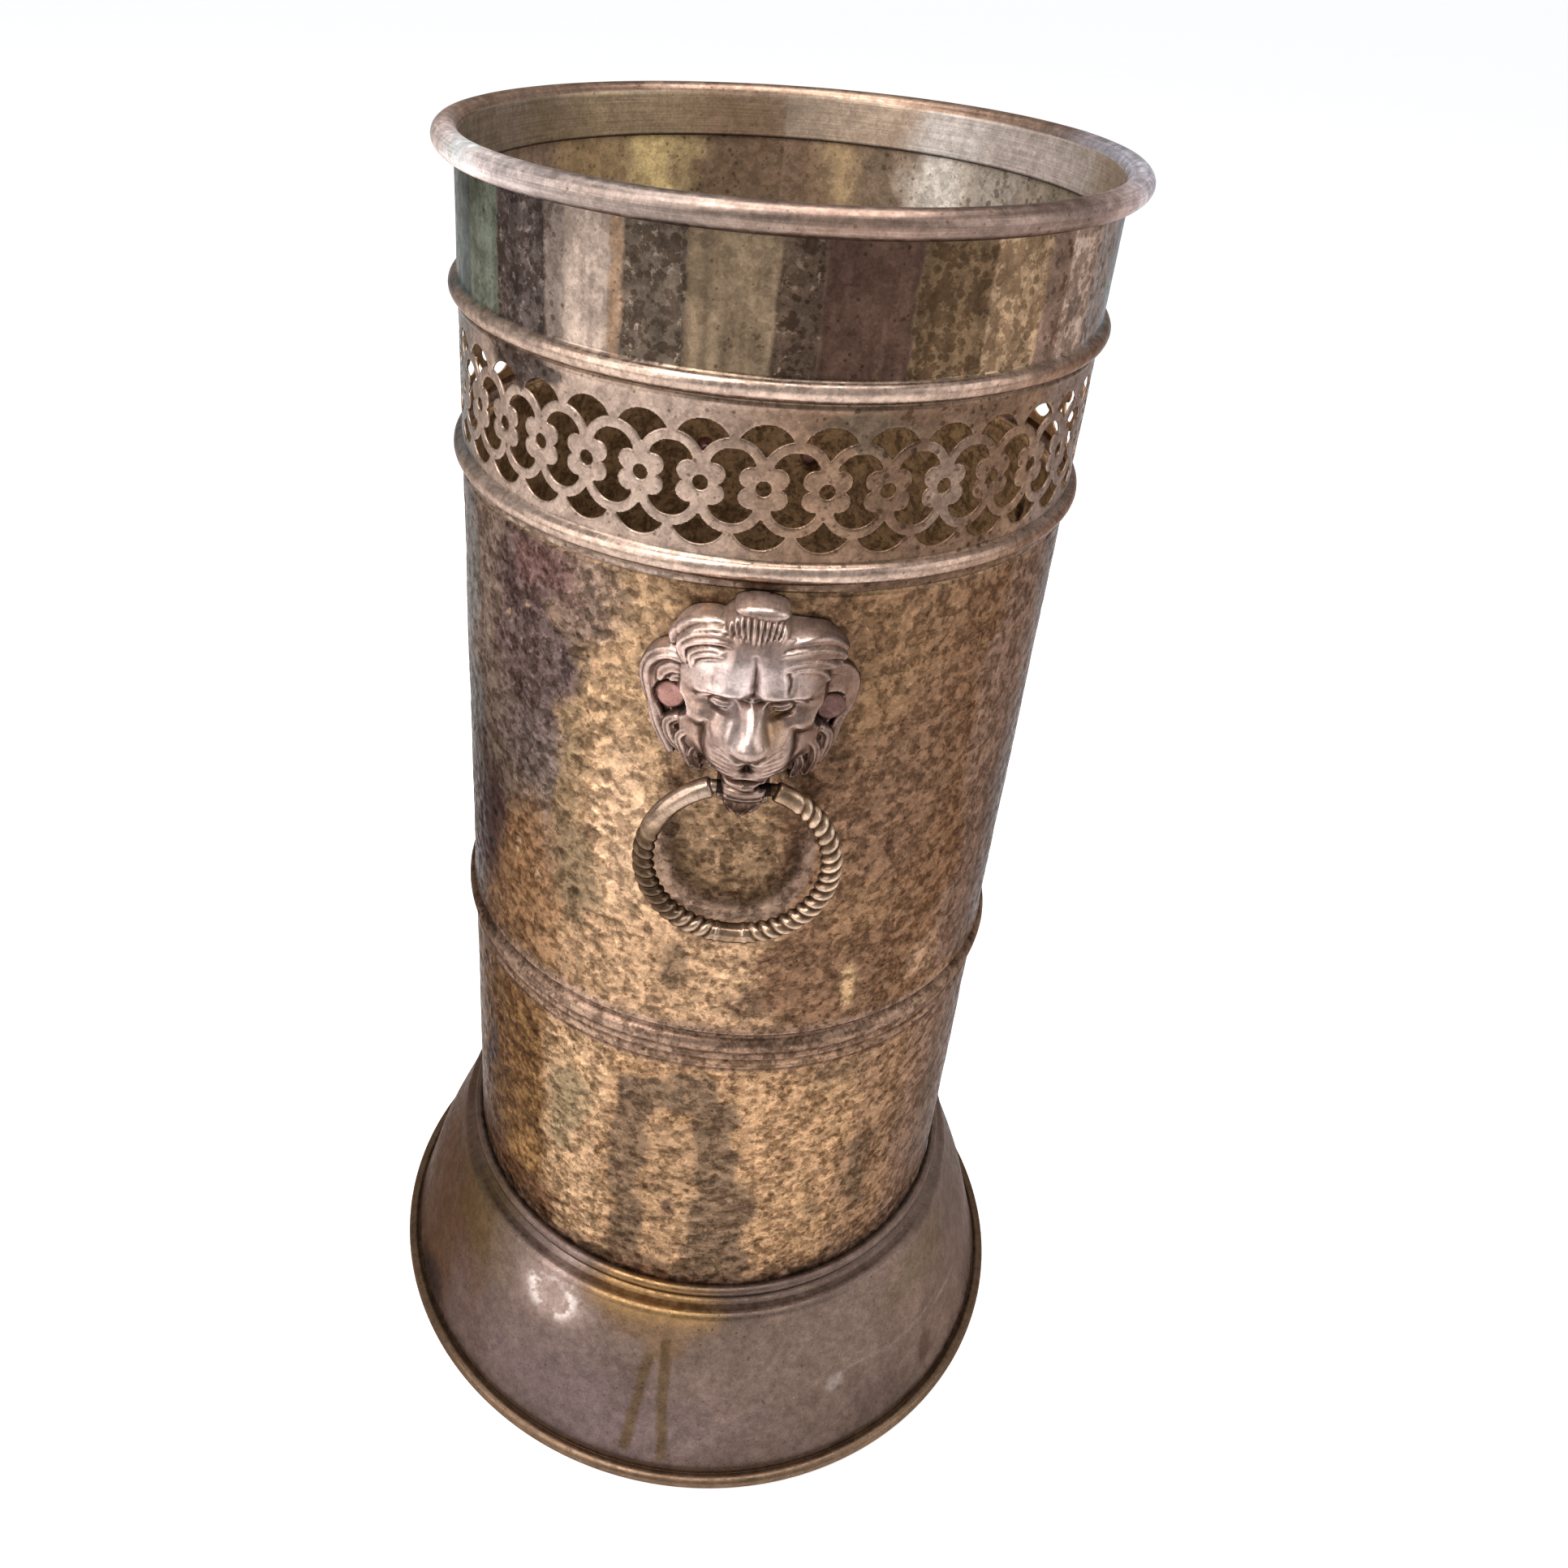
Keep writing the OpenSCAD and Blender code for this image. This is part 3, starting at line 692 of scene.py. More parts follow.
def make_band():
    rows = heights(JOINT_Z, BAND_TOP, [(JOINT_Z, 403), (403, 447.9), (447.9, 456)], 1.6, 0.5)
    az = np.arange(BAND_COLUMNS) * 360 / BAND_COLUMNS - 180
    grid_az, grid_z = np.meshgrid(az, rows)
    field = solid_of_gallery(grid_az, grid_z)
    xz, faces, borders = cut_grid(az, rows, field, True, 360.0)

    def out(a, z):
        beads = sum(bead(z, b, BEAD_HALF, BEAD_OUT) for b in (UPPER_BEAD, LOWER_BEAD))
        return beads + 0.10 * noise_at(turned(WALL_R, z, a), 22, 3, 2)

    def front(a, z):
        edge = 0.2 * (1 - ramp(solid_of_gallery(a, z), 0, 0.45))
        return turned(WALL_R + out(a, z) + ridge(z, UPPER_BEAD - 4.9) - edge, z, a)

    def back(a, z):
        edge = 0.12 * (1 - ramp(solid_of_gallery(a, z), 0, 0.45))
        return turned(INNER_R + out(a, z) + edge, z, a)

    return shell_from_cut("gallery_band_brass", xz, faces, borders, front, back, paint_band)


# ---- barrel ----

# thin raised lines above and below the middle bead, as heights from its middle
LINES = (6, -6.2, -10.6)


def hammer_strength(az, z):
    """Depth of the hammer marks in millimetres: strong left of the mask, soft on the right."""
    deep = 0.30 + 0.22 * hump(az, -26.5, 4) * ramp(z, 240, 262)
    deep = deep - 0.12 * between(az, 10, 30, 60, 80)
    flat = sum(ridge(z, MID_BEAD + d, 2.2, 1.0) for d in LINES) + bead(z, MID_BEAD, 6, 1)
    return deep * np.clip(1 - flat, 0, 1)


def crescents(az, z):
    """Height of a chain of overlapping crescents down the wall beside the mask."""
    across = (az + 26.3) * MM_PER_DEG / 4.4 + 0.25 * np.sin(z / 17)
    along_chain = (388 - z) / 8.6 + 0.32 * across ** 2 + 0.12 * np.sin(z / 5.1)
    share = along_chain - np.floor(along_chain)
    step = share - ramp(share, 0.82, 1.0)
    where = np.clip(1 - across ** 2, 0, 1) ** 0.5 * between(z, 243, 262, 384, 392)
    return (step - 0.35) * where


def barrel_marks(az, z):
    return hammer(az, z, 5.4, 4.6, 4)


def upper_wall(c):
    """Patches between the gallery band and the middle bead, from the left edge to the right. The grey at the
    far left is a painted reflection, and the pale upright strip at -21 degrees is a painted reflection of the
    window.
    """
    z = (221, 396)
    return (
        (c.panel((-180, -62), z, 6, 8) * ramp(c.az, -98, -74), (120, 116, 112), 0.3, 0.1),
        (c.panel((-63, -36), z, 6, 6), (122, 106, 96), 0.4, 0.25),
        (c.panel((-36, -29.5), (262, 396), 1.5, 3), (140, 116, 90), 0.3, 0.15),
        (c.panel((-29.5, -13), z, 2.5, 4), (168, 138, 108), 0.35, 0.35),
        (c.blob(-21, 300, 5.5, 34, 0.4), (190, 158, 128), 0.25, 0.2),
        (c.blob(-31.5, 384, 9, 16, 0.4, 6), (122, 102, 90), 0.5, 0.35),
        (c.blob(-43, 357, 9.5, 34, 0.35, 10), (98, 82, 80), 0.8, 0.5),
        (c.blob(-38, 385, 6, 12, 0.4, 8), (114, 88, 84), 0.7, 0.5),
        (c.blob(-45, 318, 9, 14, 0.5, 6) * 0.7, (108, 94, 90), 0.5, 0.2),
        (c.panel((-62, -35), (221, 262), 5, 7), (148, 116, 88), 0.35, 0.2),
        (c.blob(-44, 265, 9, 28, 0.5, 7), (148, 114, 86), 0.35, 0.2),
        (c.blob(-66, 262, 12, 30, 0.35, 6, lean=0.22), (84, 66, 60), 0.3, 0.1),
        (c.blob(-31, 273, 5, 22, 0.3, 5), (122, 102, 80), 0.4, 0.2),
        (c.panel((-36, -28), (221, 252), 3, 4), (160, 130, 102), 0.5, 0.3),
        (c.panel((-28, 12), (221, 264), 3, 6), (174, 142, 112), 0.6, 0.35),
        (c.blob(6, 234, 4.5, 7, 0.4, 5), (126, 100, 80), 0.6, 0.2),
        (c.blob(-9, 250, 3, 12, 0.4, 5), (130, 106, 84), 0.5, 0.2),
        (c.blob(-2, 300, 11.5, 30, 0.2, 2), (134, 108, 84), 0.45, 0.55),
        (c.panel((-14, 14), (378, 396), 3, 4), (138, 110, 84), 0.4, 0.2),
        (c.panel((9, 49), z, 4, 6), (118, 90, 70), 0.45, 0.35),
        (c.blob(23, 372, 11, 24, 0.5, 8), (124, 96, 72), 0.45, 0.4),
        (c.blob(34, 316, 11, 26, 0.6, 9), (112, 86, 68), 0.4, 0.25),
        (c.blob(24, 270, 8, 18, 0.5, 8), (126, 97, 74), 0.4, 0.3),
        (c.blob(28, 240, 9, 14, 0.5, 8) * 0.6, (112, 86, 68), 0.6, 0.3),
        (c.blob(24, 238, 2.0, 9, 0.4, 3), (182, 150, 114), 0.3, 0.3),
        (c.blob(45, 238, 5, 9, 0.5, 5), (158, 128, 104), 0.4, 0.3),
        (c.panel((47, 63), z, 5, 6), (126, 102, 88), 0.3, 0.2),
        (c.panel((63, 180), z, 5, 6) * ramp(c.az, 98, 74), (122, 108, 102), 0.2, 0.1),
    )


def lower_wall(c):
    """Patches between the middle bead and the foot, from the left edge to the right."""
    z, short = (60, 206), (84, 206)
    return (
        (c.panel((-120, -66), z, 5, 9) * ramp(c.az, -100, -76), (150, 124, 104), 0.3, 0.2),
        (c.panel((-66, -37), (108, 206), 4, 5), (142, 110, 78), 0.85, 0.25),
        (c.blob(-62, 148, 4, 17, 0.4, 5), (98, 74, 56), 0.5, 0.1),
        (c.panel((-38, -20), short, 2.5, 4), (182, 150, 118), 0.75, 0.15),
        (c.blob(-31, 158, 4.6, 22, 0.3, 6), (144, 124, 98), 0.4, 0.3),
        (c.blob(-40, 132, 4, 7, 0.35, 5), (120, 94, 68), 0.5, 0.1),
        (c.blob(-46, 110, 5, 17, 0.35, 5, lean=0.3), (168, 130, 90), 0.3, 0.2),
        (c.panel((-22, 32), short, 2.5, 4), (172, 138, 106), 0.8, 0.15),
        (c.panel((-14, -1), (90, 172), 2.5, 5), (160, 129, 100), 0.55, 0.3),
        (c.panel((30, 47), short, 4, 6), (148, 118, 94), 0.7, 0.3),
        (c.panel((45, 66), short, 5, 6), (136, 110, 94), 0.35, 0.25),
        (c.panel((66, 120), z, 5, 9) * ramp(c.az, 100, 76), (132, 110, 98), 0.2, 0.1),
    )


def damp_stains(c):
    """Masks of the dull stains on the lower wall: a standing arch, and smaller ones at its right."""
    return (
        c.panel((-20.5, -13.5), (70, 188), 1.3, 2.6), c.blob(-13.5, 184, 6.5, 8.5, 0.2, 3.5),
        c.blob(-4.5, 187, 5.5, 11, 0.2, 3.5), c.panel((-2.0, 5.5), (138, 186), 1.3, 3.5),
        c.blob(4.5, 124, 7.8, 22, 0.15, 3.5), c.panel((-3, 9), (70, 112), 1.5, 4),
        c.panel((33, 38), (112, 152), 1.3, 2.2), c.blob(34, 152, 5.5, 4.5, 0.3, 2.5) * 0.8,
        c.blob(45, 151, 3, 13, 0.35, 3, lean=-0.12) * 0.8, c.blob(56, 151, 4, 14, 0.4, 3) * 0.7,
        c.blob(27, 196, 5, 7, 0.4, 4) * 0.7, c.blob(25, 122, 2, 9, 0.5, 3) * 0.6,
    )


DAMP = (110, 90, 73)


def paint_barrel(points):
    c = Coat(points, (130, 103, 82), 0.45, 0.3)
    inside = np.hypot(c.x, c.y) < INNER_R + 0.3
    outside = ~inside
    # the whole wall: clouds and tall streaks of tarnish
    streak = c.noise(20, 31, 3, tall=4)
    cloud = c.noise(26, 41, 4)
    c.wash(ramp(streak + 0.5 * cloud, 0.1, 0.9) * 0.8, (108, 84, 66), 0.6)
    c.wash(ramp(-streak - 0.4 * cloud, 0.2, 0.9) * 0.8, (160, 130, 102), 0.5, 0.3)
    c.washes(upper_wall(c))
    c.washes(lower_wall(c))
    c.washes([(stain * 0.92, DAMP, 0.25, 0.12) for stain in damp_stains(c)])
    c.wash(c.blob(-7, 124, 1.2, 4, 0.3, 2), (92, 72, 60))
    c.wash(c.panel((-90, -33), (60, 104), 2.5, 7), (124, 94, 72), 0.35, 0.1)
    c.wash(c.panel((-22, 10), (60, 92), 2, 5), (120, 97, 78), 0.3, 0.15)
    c.wash(c.panel((-180, 180), (60, 87), 1.5, 3) * 0.8, (134, 108, 90), 0.4, 0.1)
    # back of the wall: damp stains climb from the foot
    rear = ramp(np.abs(c.az), 88, 112)
    c.wash(rear * ramp(c.noise(22, 51, 4, tall=3) - (c.z - 90) / 110, 0.0, 0.35), DAMP, 0.4, 0.15)
    # middle bead and the lines beside it, with a painted highlight on the front left and painted shade in the
    # grooves beside them
    bands = np.clip(bead(c.z, MID_BEAD, MID_HALF + 2.6, 1.0)
                    + sum(ridge(c.z, MID_BEAD + d, 2.2, 0.9) for d in LINES), 0, 1)
    c.wash(bands * outside * 0.85, (138, 112, 96), 0.3, 0.25)
    c.wash(bands * outside * 0.6 * between(c.az, -70, -50, -20, 5), (176, 148, 130))
    for d in (3.9, -4.2, -7.6, -12.0):
        c.wash(hump(c.z, MID_BEAD + d, 0.9) * outside * 0.7, (92, 68, 56), 0.4)
    # painted shade: the wall is darker away from the upper front, and a painted shadow of the mask lies at
    # its right
    below = ramp(c.z, 350, 300)
    near_side = ramp(np.abs(c.az), 115, 95)
    c.scale(1 - 0.30 * below * near_side * ramp(-c.az, 32, 46) * outside)
    c.scale(1 - 0.28 * below * near_side * ramp(np.abs(c.az), 49, 62) * outside)
    c.scale(1 - 0.35 * c.blob(13, 350, 6, 30, 0.5, 4) * outside)
    # painted shadow and painted reflection of the hanging ring: a dark crescent, with a duller band beside it
    across = c.az * MM_PER_DEG
    reach = np.hypot(across + 1.0, c.z - RING_SHADOW_Z) + 1.2 * c.stray_a
    lower_side = ramp(RING_SHADOW_Z + 9 - c.z + 0.5 * (np.abs(across) - 10), 0, 12) * (np.abs(c.az) < 40) * outside
    c.wash(between(reach, 20.5, 22.5, 26.5, 28.5) * lower_side * 0.75, (128, 106, 94), 0.3, 0.1)
    c.wash(hump(reach, 20.3, 1.9) * lower_side * 0.8, (84, 66, 54), 0.3, 0.0)
    # hollows keep their tarnish and ridges are rubbed bright; the lower half of each dish, which faces up,
    # has painted light and its upper half painted shade, and the crescents are painted paler where they stand
    # higher
    marks, rise = barrel_marks(c.az, c.z)
    depth = hammer_strength(c.az, c.z) / 0.3 * outside
    c.scale(np.clip(1 + depth * (0.34 * (marks - 0.5) - 0.5 * rise), 0.45, 1.8))
    c.fleck = np.clip(c.fleck + 0.45 * depth * (marks - 0.6), 0, 1)
    c.scale(1 + 0.9 * crescents(c.az, c.z) * outside)
    c.wash(inside, (160, 128, 94), 0.5, 0.1, 0.4, 0.55)
    return c


def make_barrel():
    beads = [(MID_BEAD - 12, MID_BEAD + 8)]
    rows = heights(BARREL_LOW, JOINT_Z - 1.2, beads, 1.2, 0.5)[::-1]
    neck = [(WALL_R - 0.9, JOINT_Z - 0.2), (WALL_R - 0.85, BARREL_TOP)]
    outer = np.array(neck[::-1] + [(WALL_R, z) for z in rows])
    coarse = [z for i, z in enumerate(rows) if i % 4 == 0 or abs(z - MID_BEAD) < 6 or z == rows[-1]]
    inner = np.array([(WALL_R - 1.65, BARREL_TOP), (WALL_R - 1.65, JOINT_Z - 0.6)]
                     + [(INNER_R, z) for z in coarse if z < JOINT_Z - 2])

    def shape(az, z, radius, on_outer):
        wall = ramp(z, JOINT_Z - 1.0, JOINT_Z - 4.0)
        waves = 0.22 * noise_at(turned(WALL_R, z, az), 34, 8, 2) * wall
        marks, _ = barrel_marks(az, z)
        dents = hammer_strength(az, z) * (marks - 0.75) * wall * on_outer
        dents = dents + 0.55 * crescents(az, z) * wall * on_outer
        lines = sum(ridge(z, MID_BEAD + d) for d in LINES) * on_outer
        return bead(z, MID_BEAD, MID_HALF, MID_OUT) + waves + dents + lines, 0 * z

    return lathe("barrel_brass", outer, inner, BARREL_COLUMNS, shape, paint_barrel)


# ---- rim ----

# painted light and shade round the rim's roll: azimuths and shares of brightness, and the same for the inside
# of the collar
ROLL_PAINTED_LIGHT = ((-110, -75, -58, -45, -35, -18, -4, 11, 26, 44, 60, 72, 100, 120),
              (0.85, 1.5, 2.1, 1.0, 0.52, 0.32, 0.52, 0.95, 0.72, 0.68, 2.3, 1.6, 1.1, 0.85))
COLLAR_INSIDE_PAINTED_LIGHT = ((125, 138, 150, 159, 169, 179, 190, 200, 212, 224, 235, 245),
                (0.8, 0.85, 0.92, 1.2, 1.05, 0.8, 0.86, 1.03, 0.85, 0.85, 0.62, 0.55))


def paint_rim(points):
    c = Coat(points, (176, 146, 126), 0.3, 0.3, 0.6)
    r = np.hypot(c.x, c.y)
    turn = np.degrees(np.arctan2(c.z - RIM_Z, r - RIM_R))
    inside = (r < RIM_R - RIM_ROLL_R + 0.9) & (c.z < RIM_Z + 1)
    outside = ~inside
    crust = ramp(c.noise(2.2, 60, 3), -0.1, 0.3) * ramp(-turn, 78, 95) * between(c.az, -32, -18, 10, 26)
    # random tarnish, a painted highlight at the left, a bluish painted reflection at the right, darker at the
    # right front, painted shade on the roll's underside and in the crevice where it curls in, and a crust
    c.washes((
        (ramp(c.noise(18, 3, 3), 0.1, 0.7) * 0.5, (128, 100, 84), 0.45),
        (ramp(-c.noise(18, 6, 3), 0.2, 0.8) * 0.5, (186, 158, 142), 0.2),
        (c.blob(-42, RIM_Z, 34, 60, 0.6) * 0.95, (246, 230, 226), 0.15, 0.35),
        (c.blob(82, RIM_Z, 26, 60, 0.6), (222, 218, 228), 0.15, 0.3),
        (c.blob(36, RIM_Z, 30, 60, 0.6) * 0.7, (156, 132, 124), 0.4, 0.3),
        (ramp(-turn, 20, 75) * outside * 0.6, (104, 80, 66), 0.5, 0.1),
        (crust * outside, (206, 178, 150), 0.2, 0.6, 0.2),
        (ramp(-turn, 112, 124) * outside * 0.9, (60, 46, 38), 0.4),
    ))
    # painted light and shade round the roll
    c.scale(np.where(inside, 1, np.interp(c.az, *ROLL_PAINTED_LIGHT)))
    warm = between(c.az, -48, -25, -6, 12) * outside
    c.tone *= 1 - warm[:, None] * np.array([0.0, 0.08, 0.16])
    # inside of the collar, with painted highlights between 100 and 152 degrees and painted light and shade
    # round it
    z = (470, 500)
    c.washes((
        (1.0, (206, 182, 160), 0.2, 0.1, 0.5, 0.5),
        (c.panel((100, 132), z, 6, 4), (220, 206, 190), 0.3),
        (c.panel((130, 152), z, 8, 4), (255, 244, 236), 0.1),
        (c.panel((104, 132), z, 8, 4), (244, 228, 220), 0.1),
        (c.panel((-180, -155), z, 8, 4), (176, 146, 118), 0.3),
        (c.panel((-160, -120), z, 12, 6), (186, 160, 128), 0.3),
    ), inside)
    c.scale(np.where(inside, np.interp(c.az % 360, *COLLAR_INSIDE_PAINTED_LIGHT), 1))
    c.wash(inside * ramp(c.z, SKIRT_Z + 1.0, SKIRT_Z), (60, 48, 38))
    return c


def make_rim():
    skirt_in = RIM_R - RIM_ROLL_R
    curl_end = -126
    outer = np.array([(skirt_in, z) for z in np.arange(SKIRT_Z, RIM_Z, 1.0)]
                     + arc(RIM_R, RIM_Z, RIM_ROLL_R, 180, curl_end, 0.55))
    inner = np.array([(skirt_in + SHEET, z) for z in np.arange(SKIRT_Z, RIM_Z, 1.6)]
                     + arc(RIM_R, RIM_Z, RIM_ROLL_R - SHEET, 176, curl_end, 0.9))

    def shape(az, z, radius, on_outer):
        t = np.radians(az)
        sway = 0.10 * np.sin(3 * t + 1) + 0.08 * np.sin(7 * t) + 0.05 * np.sin(19 * t + 2)
        p = turned(radius, z, az)
        lumps = 0.10 * noise_at(p, 9, 15) * on_outer
        crust = hump(z, RIM_Z - 3.3, 0.7) * between(az, -32, -18, 10, 26) * (radius > RIM_R - 2)
        rough = 0.28 * np.clip(noise_at(p, 2.2, 60, 2), 0, 1) * crust * on_outer
        roll = ramp(z, RIM_Z - 8, RIM_Z)
        return sway * roll - np.abs(lumps) * 0.6 + rough, -0.02 - 0.12 * (1 + np.sin(2 * t + 0.6)) * roll

    return lathe("rim_collar_brass", outer, inner, RIM_COLUMNS, shape, paint_rim)


# ---- foot ----

NECK_R, NECK_Z, NECK_BEAD = WALL_R + 1.7, 79.7, 2.2
FLARE_Z = 76.2
ROLL_R = 2.6
ROLL_AT = FOOT_OUT - ROLL_R, 2.5
SHOULDER_IN, SHOULDER_DOWN = 3.0, 2.0
CONE_Z = (8, 75)
BRUISE_AT = (-30, 65)

# drips below the stain: azimuth, lowest and highest point, degrees of lean for each millimetre up
DRIPS = ((-9.6, 9, 55, 0.06), (-4.3, 7, 62, -0.02))
# faint level scratches: azimuth, height, half length in degrees
SCRATCHES = ((34, 38, 6), (48, 36, 7), (62, 34, 5))
# dings of the cone: azimuth, height, size, depth
DINGS = ((-78, 40, 5, 0.5), (8, 22, 6, 0.25), (45, 52, 7, 0.35), (118, 34, 6, 0.5), (-140, 55, 5, 0.45),
         (165, 20, 8, 0.4))


def shoulder_share(az, radius, z):
    """How far the foot's shoulder is drawn in and down, which it is towards the sides: from 0 to 1."""
    return ramp(np.abs(az), 50, 78) * ramp(radius, WALL_R + 2.5, WALL_R + 10.3) * ramp(z, 30, 74)


def foot_section():
    """Outer face of the foot, from the neck bead down round the rolled edge."""
    neck = arc(NECK_R, NECK_Z, NECK_BEAD, 138, -52, 0.4)
    hollow = [(WALL_R + 2.7, FLARE_Z + 0.6), (WALL_R + 3.8, FLARE_Z + 0.1), (WALL_R + 5.2, FLARE_Z - 0.2),
              (WALL_R + 6.8, FLARE_Z - 0.2), (WALL_R + 8.2, FLARE_Z - 0.1), (WALL_R + 9.3, FLARE_Z - 0.2),
              (WALL_R + 10.3, FLARE_Z - 0.7), (WALL_R + 11.2, FLARE_Z - 1.7)]
    cone_end = (ROLL_AT[0] - 2.0, ROLL_AT[1] + 1.7)
    roll = arc(*ROLL_AT, ROLL_R, 142, -196, 0.45)
    return resample(neck + hollow, 0.5) + resample([hollow[-1], cone_end], 1.3)[1:] + roll


def paint_foot(points):
    c = Coat(points, (116, 97, 88), 0.28, 0.2, 0.5)
    r = np.hypot(c.x, c.y)
    lowered = shoulder_share(c.az, r + 1.5, c.z + 1)
    r, z = r + SHOULDER_IN * lowered, c.z + SHOULDER_DOWN * lowered
    under = (r < np.interp(z, (4, FLARE_Z), (ROLL_AT[0] - 2.6, WALL_R + 10))) & (z < FLARE_Z - 2.4)
    c.washes((
        (ramp(c.noise(24, 2, 4), 0.0, 0.8) * 0.5, (134, 112, 100), 0.2),
        (ramp(-c.noise(24, 7, 4), 0.1, 0.8) * 0.5, (98, 80, 70), 0.35),
        (c.panel((-130, -52), CONE_Z, 16, 8) * 0.85, (108, 82, 64), 0.2),
        (c.blob(-52, 66, 14, 14, 0.6, 5) * 0.8, (106, 86, 60), 0.3),
        (c.blob(-22, 26, 26, 20, 0.6, 6) * 0.55, (124, 106, 108), 0.2),
        (c.blob(-30, 66, 14, 20, 0.7, 6) * 0.6, (140, 120, 112), 0.2),
        (c.blob(20, 58, 26, 20, 0.7, 6) * 0.5, (130, 110, 98), 0.2),
        (c.blob(55, 60, 14, 12, 0.6, 5) * 0.5, (108, 94, 74), 0.3),
        (c.panel((68, 110), (40, 76), 14, 8) * 0.35, (104, 94, 88), 0.3),
        (c.blob(-62, 12, 7, 8, 0.5, 4) * 0.8, (70, 60, 56), 0.3),
        (c.blob(40, 16, 14, 9, 0.6, 4) * 0.5, (88, 74, 68), 0.3),
        (c.blob(52, 20, 1.6, 9, 0.4, 2) * 0.7, (86, 68, 60), 0.3),
    ))
    # golden stain below the neck, and the drips from it
    stain = np.maximum(c.blob(-8.5, 74, 13, 13, 0.45, 2.5), c.blob(-5, 62, 4, 8, 0.5, 2))
    c.wash(stain * 0.9, (124, 98, 74), 0.4, 0.1, 0.7)
    c.wash(stain * ramp(c.z, 66, 76) * 0.9, (158, 124, 84), 0.3, 0.2, 0.8)
    for az, lowest, highest, lean in DRIPS:
        aside = np.abs(c.az - az - lean * (c.z - 30) + 0.25 * c.stray_a)
        drip = ramp(aside, 1.35, 0.75) * between(c.z, lowest, lowest + 3, highest, highest + 4)
        c.wash(drip * 0.85, (96, 76, 54), 0.3, 0.05, 0.7)
    # bruise: a ring of bright scuffs
    az, height = BRUISE_AT
    q = np.hypot((c.az - az) / 5.0, (c.z - height) / 8.5)
    scuff = hump(q, 0.9, 0.3) * ramp(c.noise(3.4, 70, 4), -0.2, 0.35)
    c.wash(c.blob(az, height, 7.5, 12, 0.5, 2) * 0.8, (176, 152, 142), 0.1, 0.3, 0.7)
    c.wash(scuff * 0.85, (250, 234, 226), 0.05, 0.6, 0.8)
    c.wash(c.blob(28, 36, 1.6, 4, 0.4, 1) * 0.5, (170, 156, 150), 0.1, 0.6)
    for az, height, length in SCRATCHES:
        scratch = hump(c.z, height + 0.6 * c.stray_z, 0.7) * c.blob(az, height, length, 9, 0.5)
        c.wash(scratch * 0.5, (158, 140, 132), 0.1, 0.3)
    # painted shade at the left and painted light at the right, on the front
    near_side = ramp(np.abs(c.az), 130, 110) * ~under
    c.scale(1 - 0.22 * ramp(-c.az, 32, 66) * near_side)
    c.scale(1 + 0.15 * ramp(c.az, 30, 60) * near_side)
    # rolled edge, painted shade in the crease above it, and painted shade on the foot's underside
    roll = ramp(c.z, 6.4, 5.0)
    c.washes((
        (roll, (128, 104, 84), 0.3, 0.3, 0.7),
        (roll * ramp(np.abs(c.az), 30, 60), (106, 84, 66)),
        (hump(c.z, 6.6, 0.9) * 0.7, (84, 66, 56), 0.4),
        (under, (84, 66, 52), 0.5, 0.05, 0.2),
    ))
    return c


def make_foot():
    outer = np.array(foot_section())
    roll_in = arc(*ROLL_AT, ROLL_R - SHEET, -196, 142, 0.6)[::-1]
    cone_start, cone_end = (WALL_R + 10.3, FLARE_Z - 1.1), (ROLL_AT[0] - 2.75, ROLL_AT[1] + 1.6)
    inner = np.array(arc(NECK_R - 0.2, NECK_Z, NECK_BEAD - SHEET, 150, -40, 0.5)
                     + [(WALL_R + 2.0, FLARE_Z - 0.7), (WALL_R + 3.1, FLARE_Z - 1.9),
                        (WALL_R + 5.4, FLARE_Z - 2.2), (WALL_R + 8.6, FLARE_Z - 1.5)]
                     + resample([cone_start, cone_end], 3) + roll_in)

    def shape(az, z, radius, on_outer):
        cone = between(z, 5, 12, 68, 74)
        waves = 0.35 * noise_at(turned(radius, z, az), 40, 21, 2) * cone
        q = np.hypot((az - BRUISE_AT[0]) / 5.4, (z - BRUISE_AT[1]) / 9.5)
        bruise = 0.22 * np.clip(1 - q * q, 0, None) ** 1.2 * ramp(z, 75.5, 72)
        dings = 0.0
        for a, h, size, depth in DINGS:
            reach = np.hypot((az - a) * radius * math.pi / 180, (z - h) * 1.1)
            dings = dings + depth * hump(reach, 0, size) * cone
        lowered = shoulder_share(az, radius, z)
        return waves - bruise - dings - SHOULDER_IN * lowered, -SHOULDER_DOWN * lowered

    return lathe("foot_skirt_brass", outer, inner, FOOT_COLUMNS, shape, paint_foot)


# ---- lion masks: height off the barrel, with x to the right and z up from the middle of the mask ----

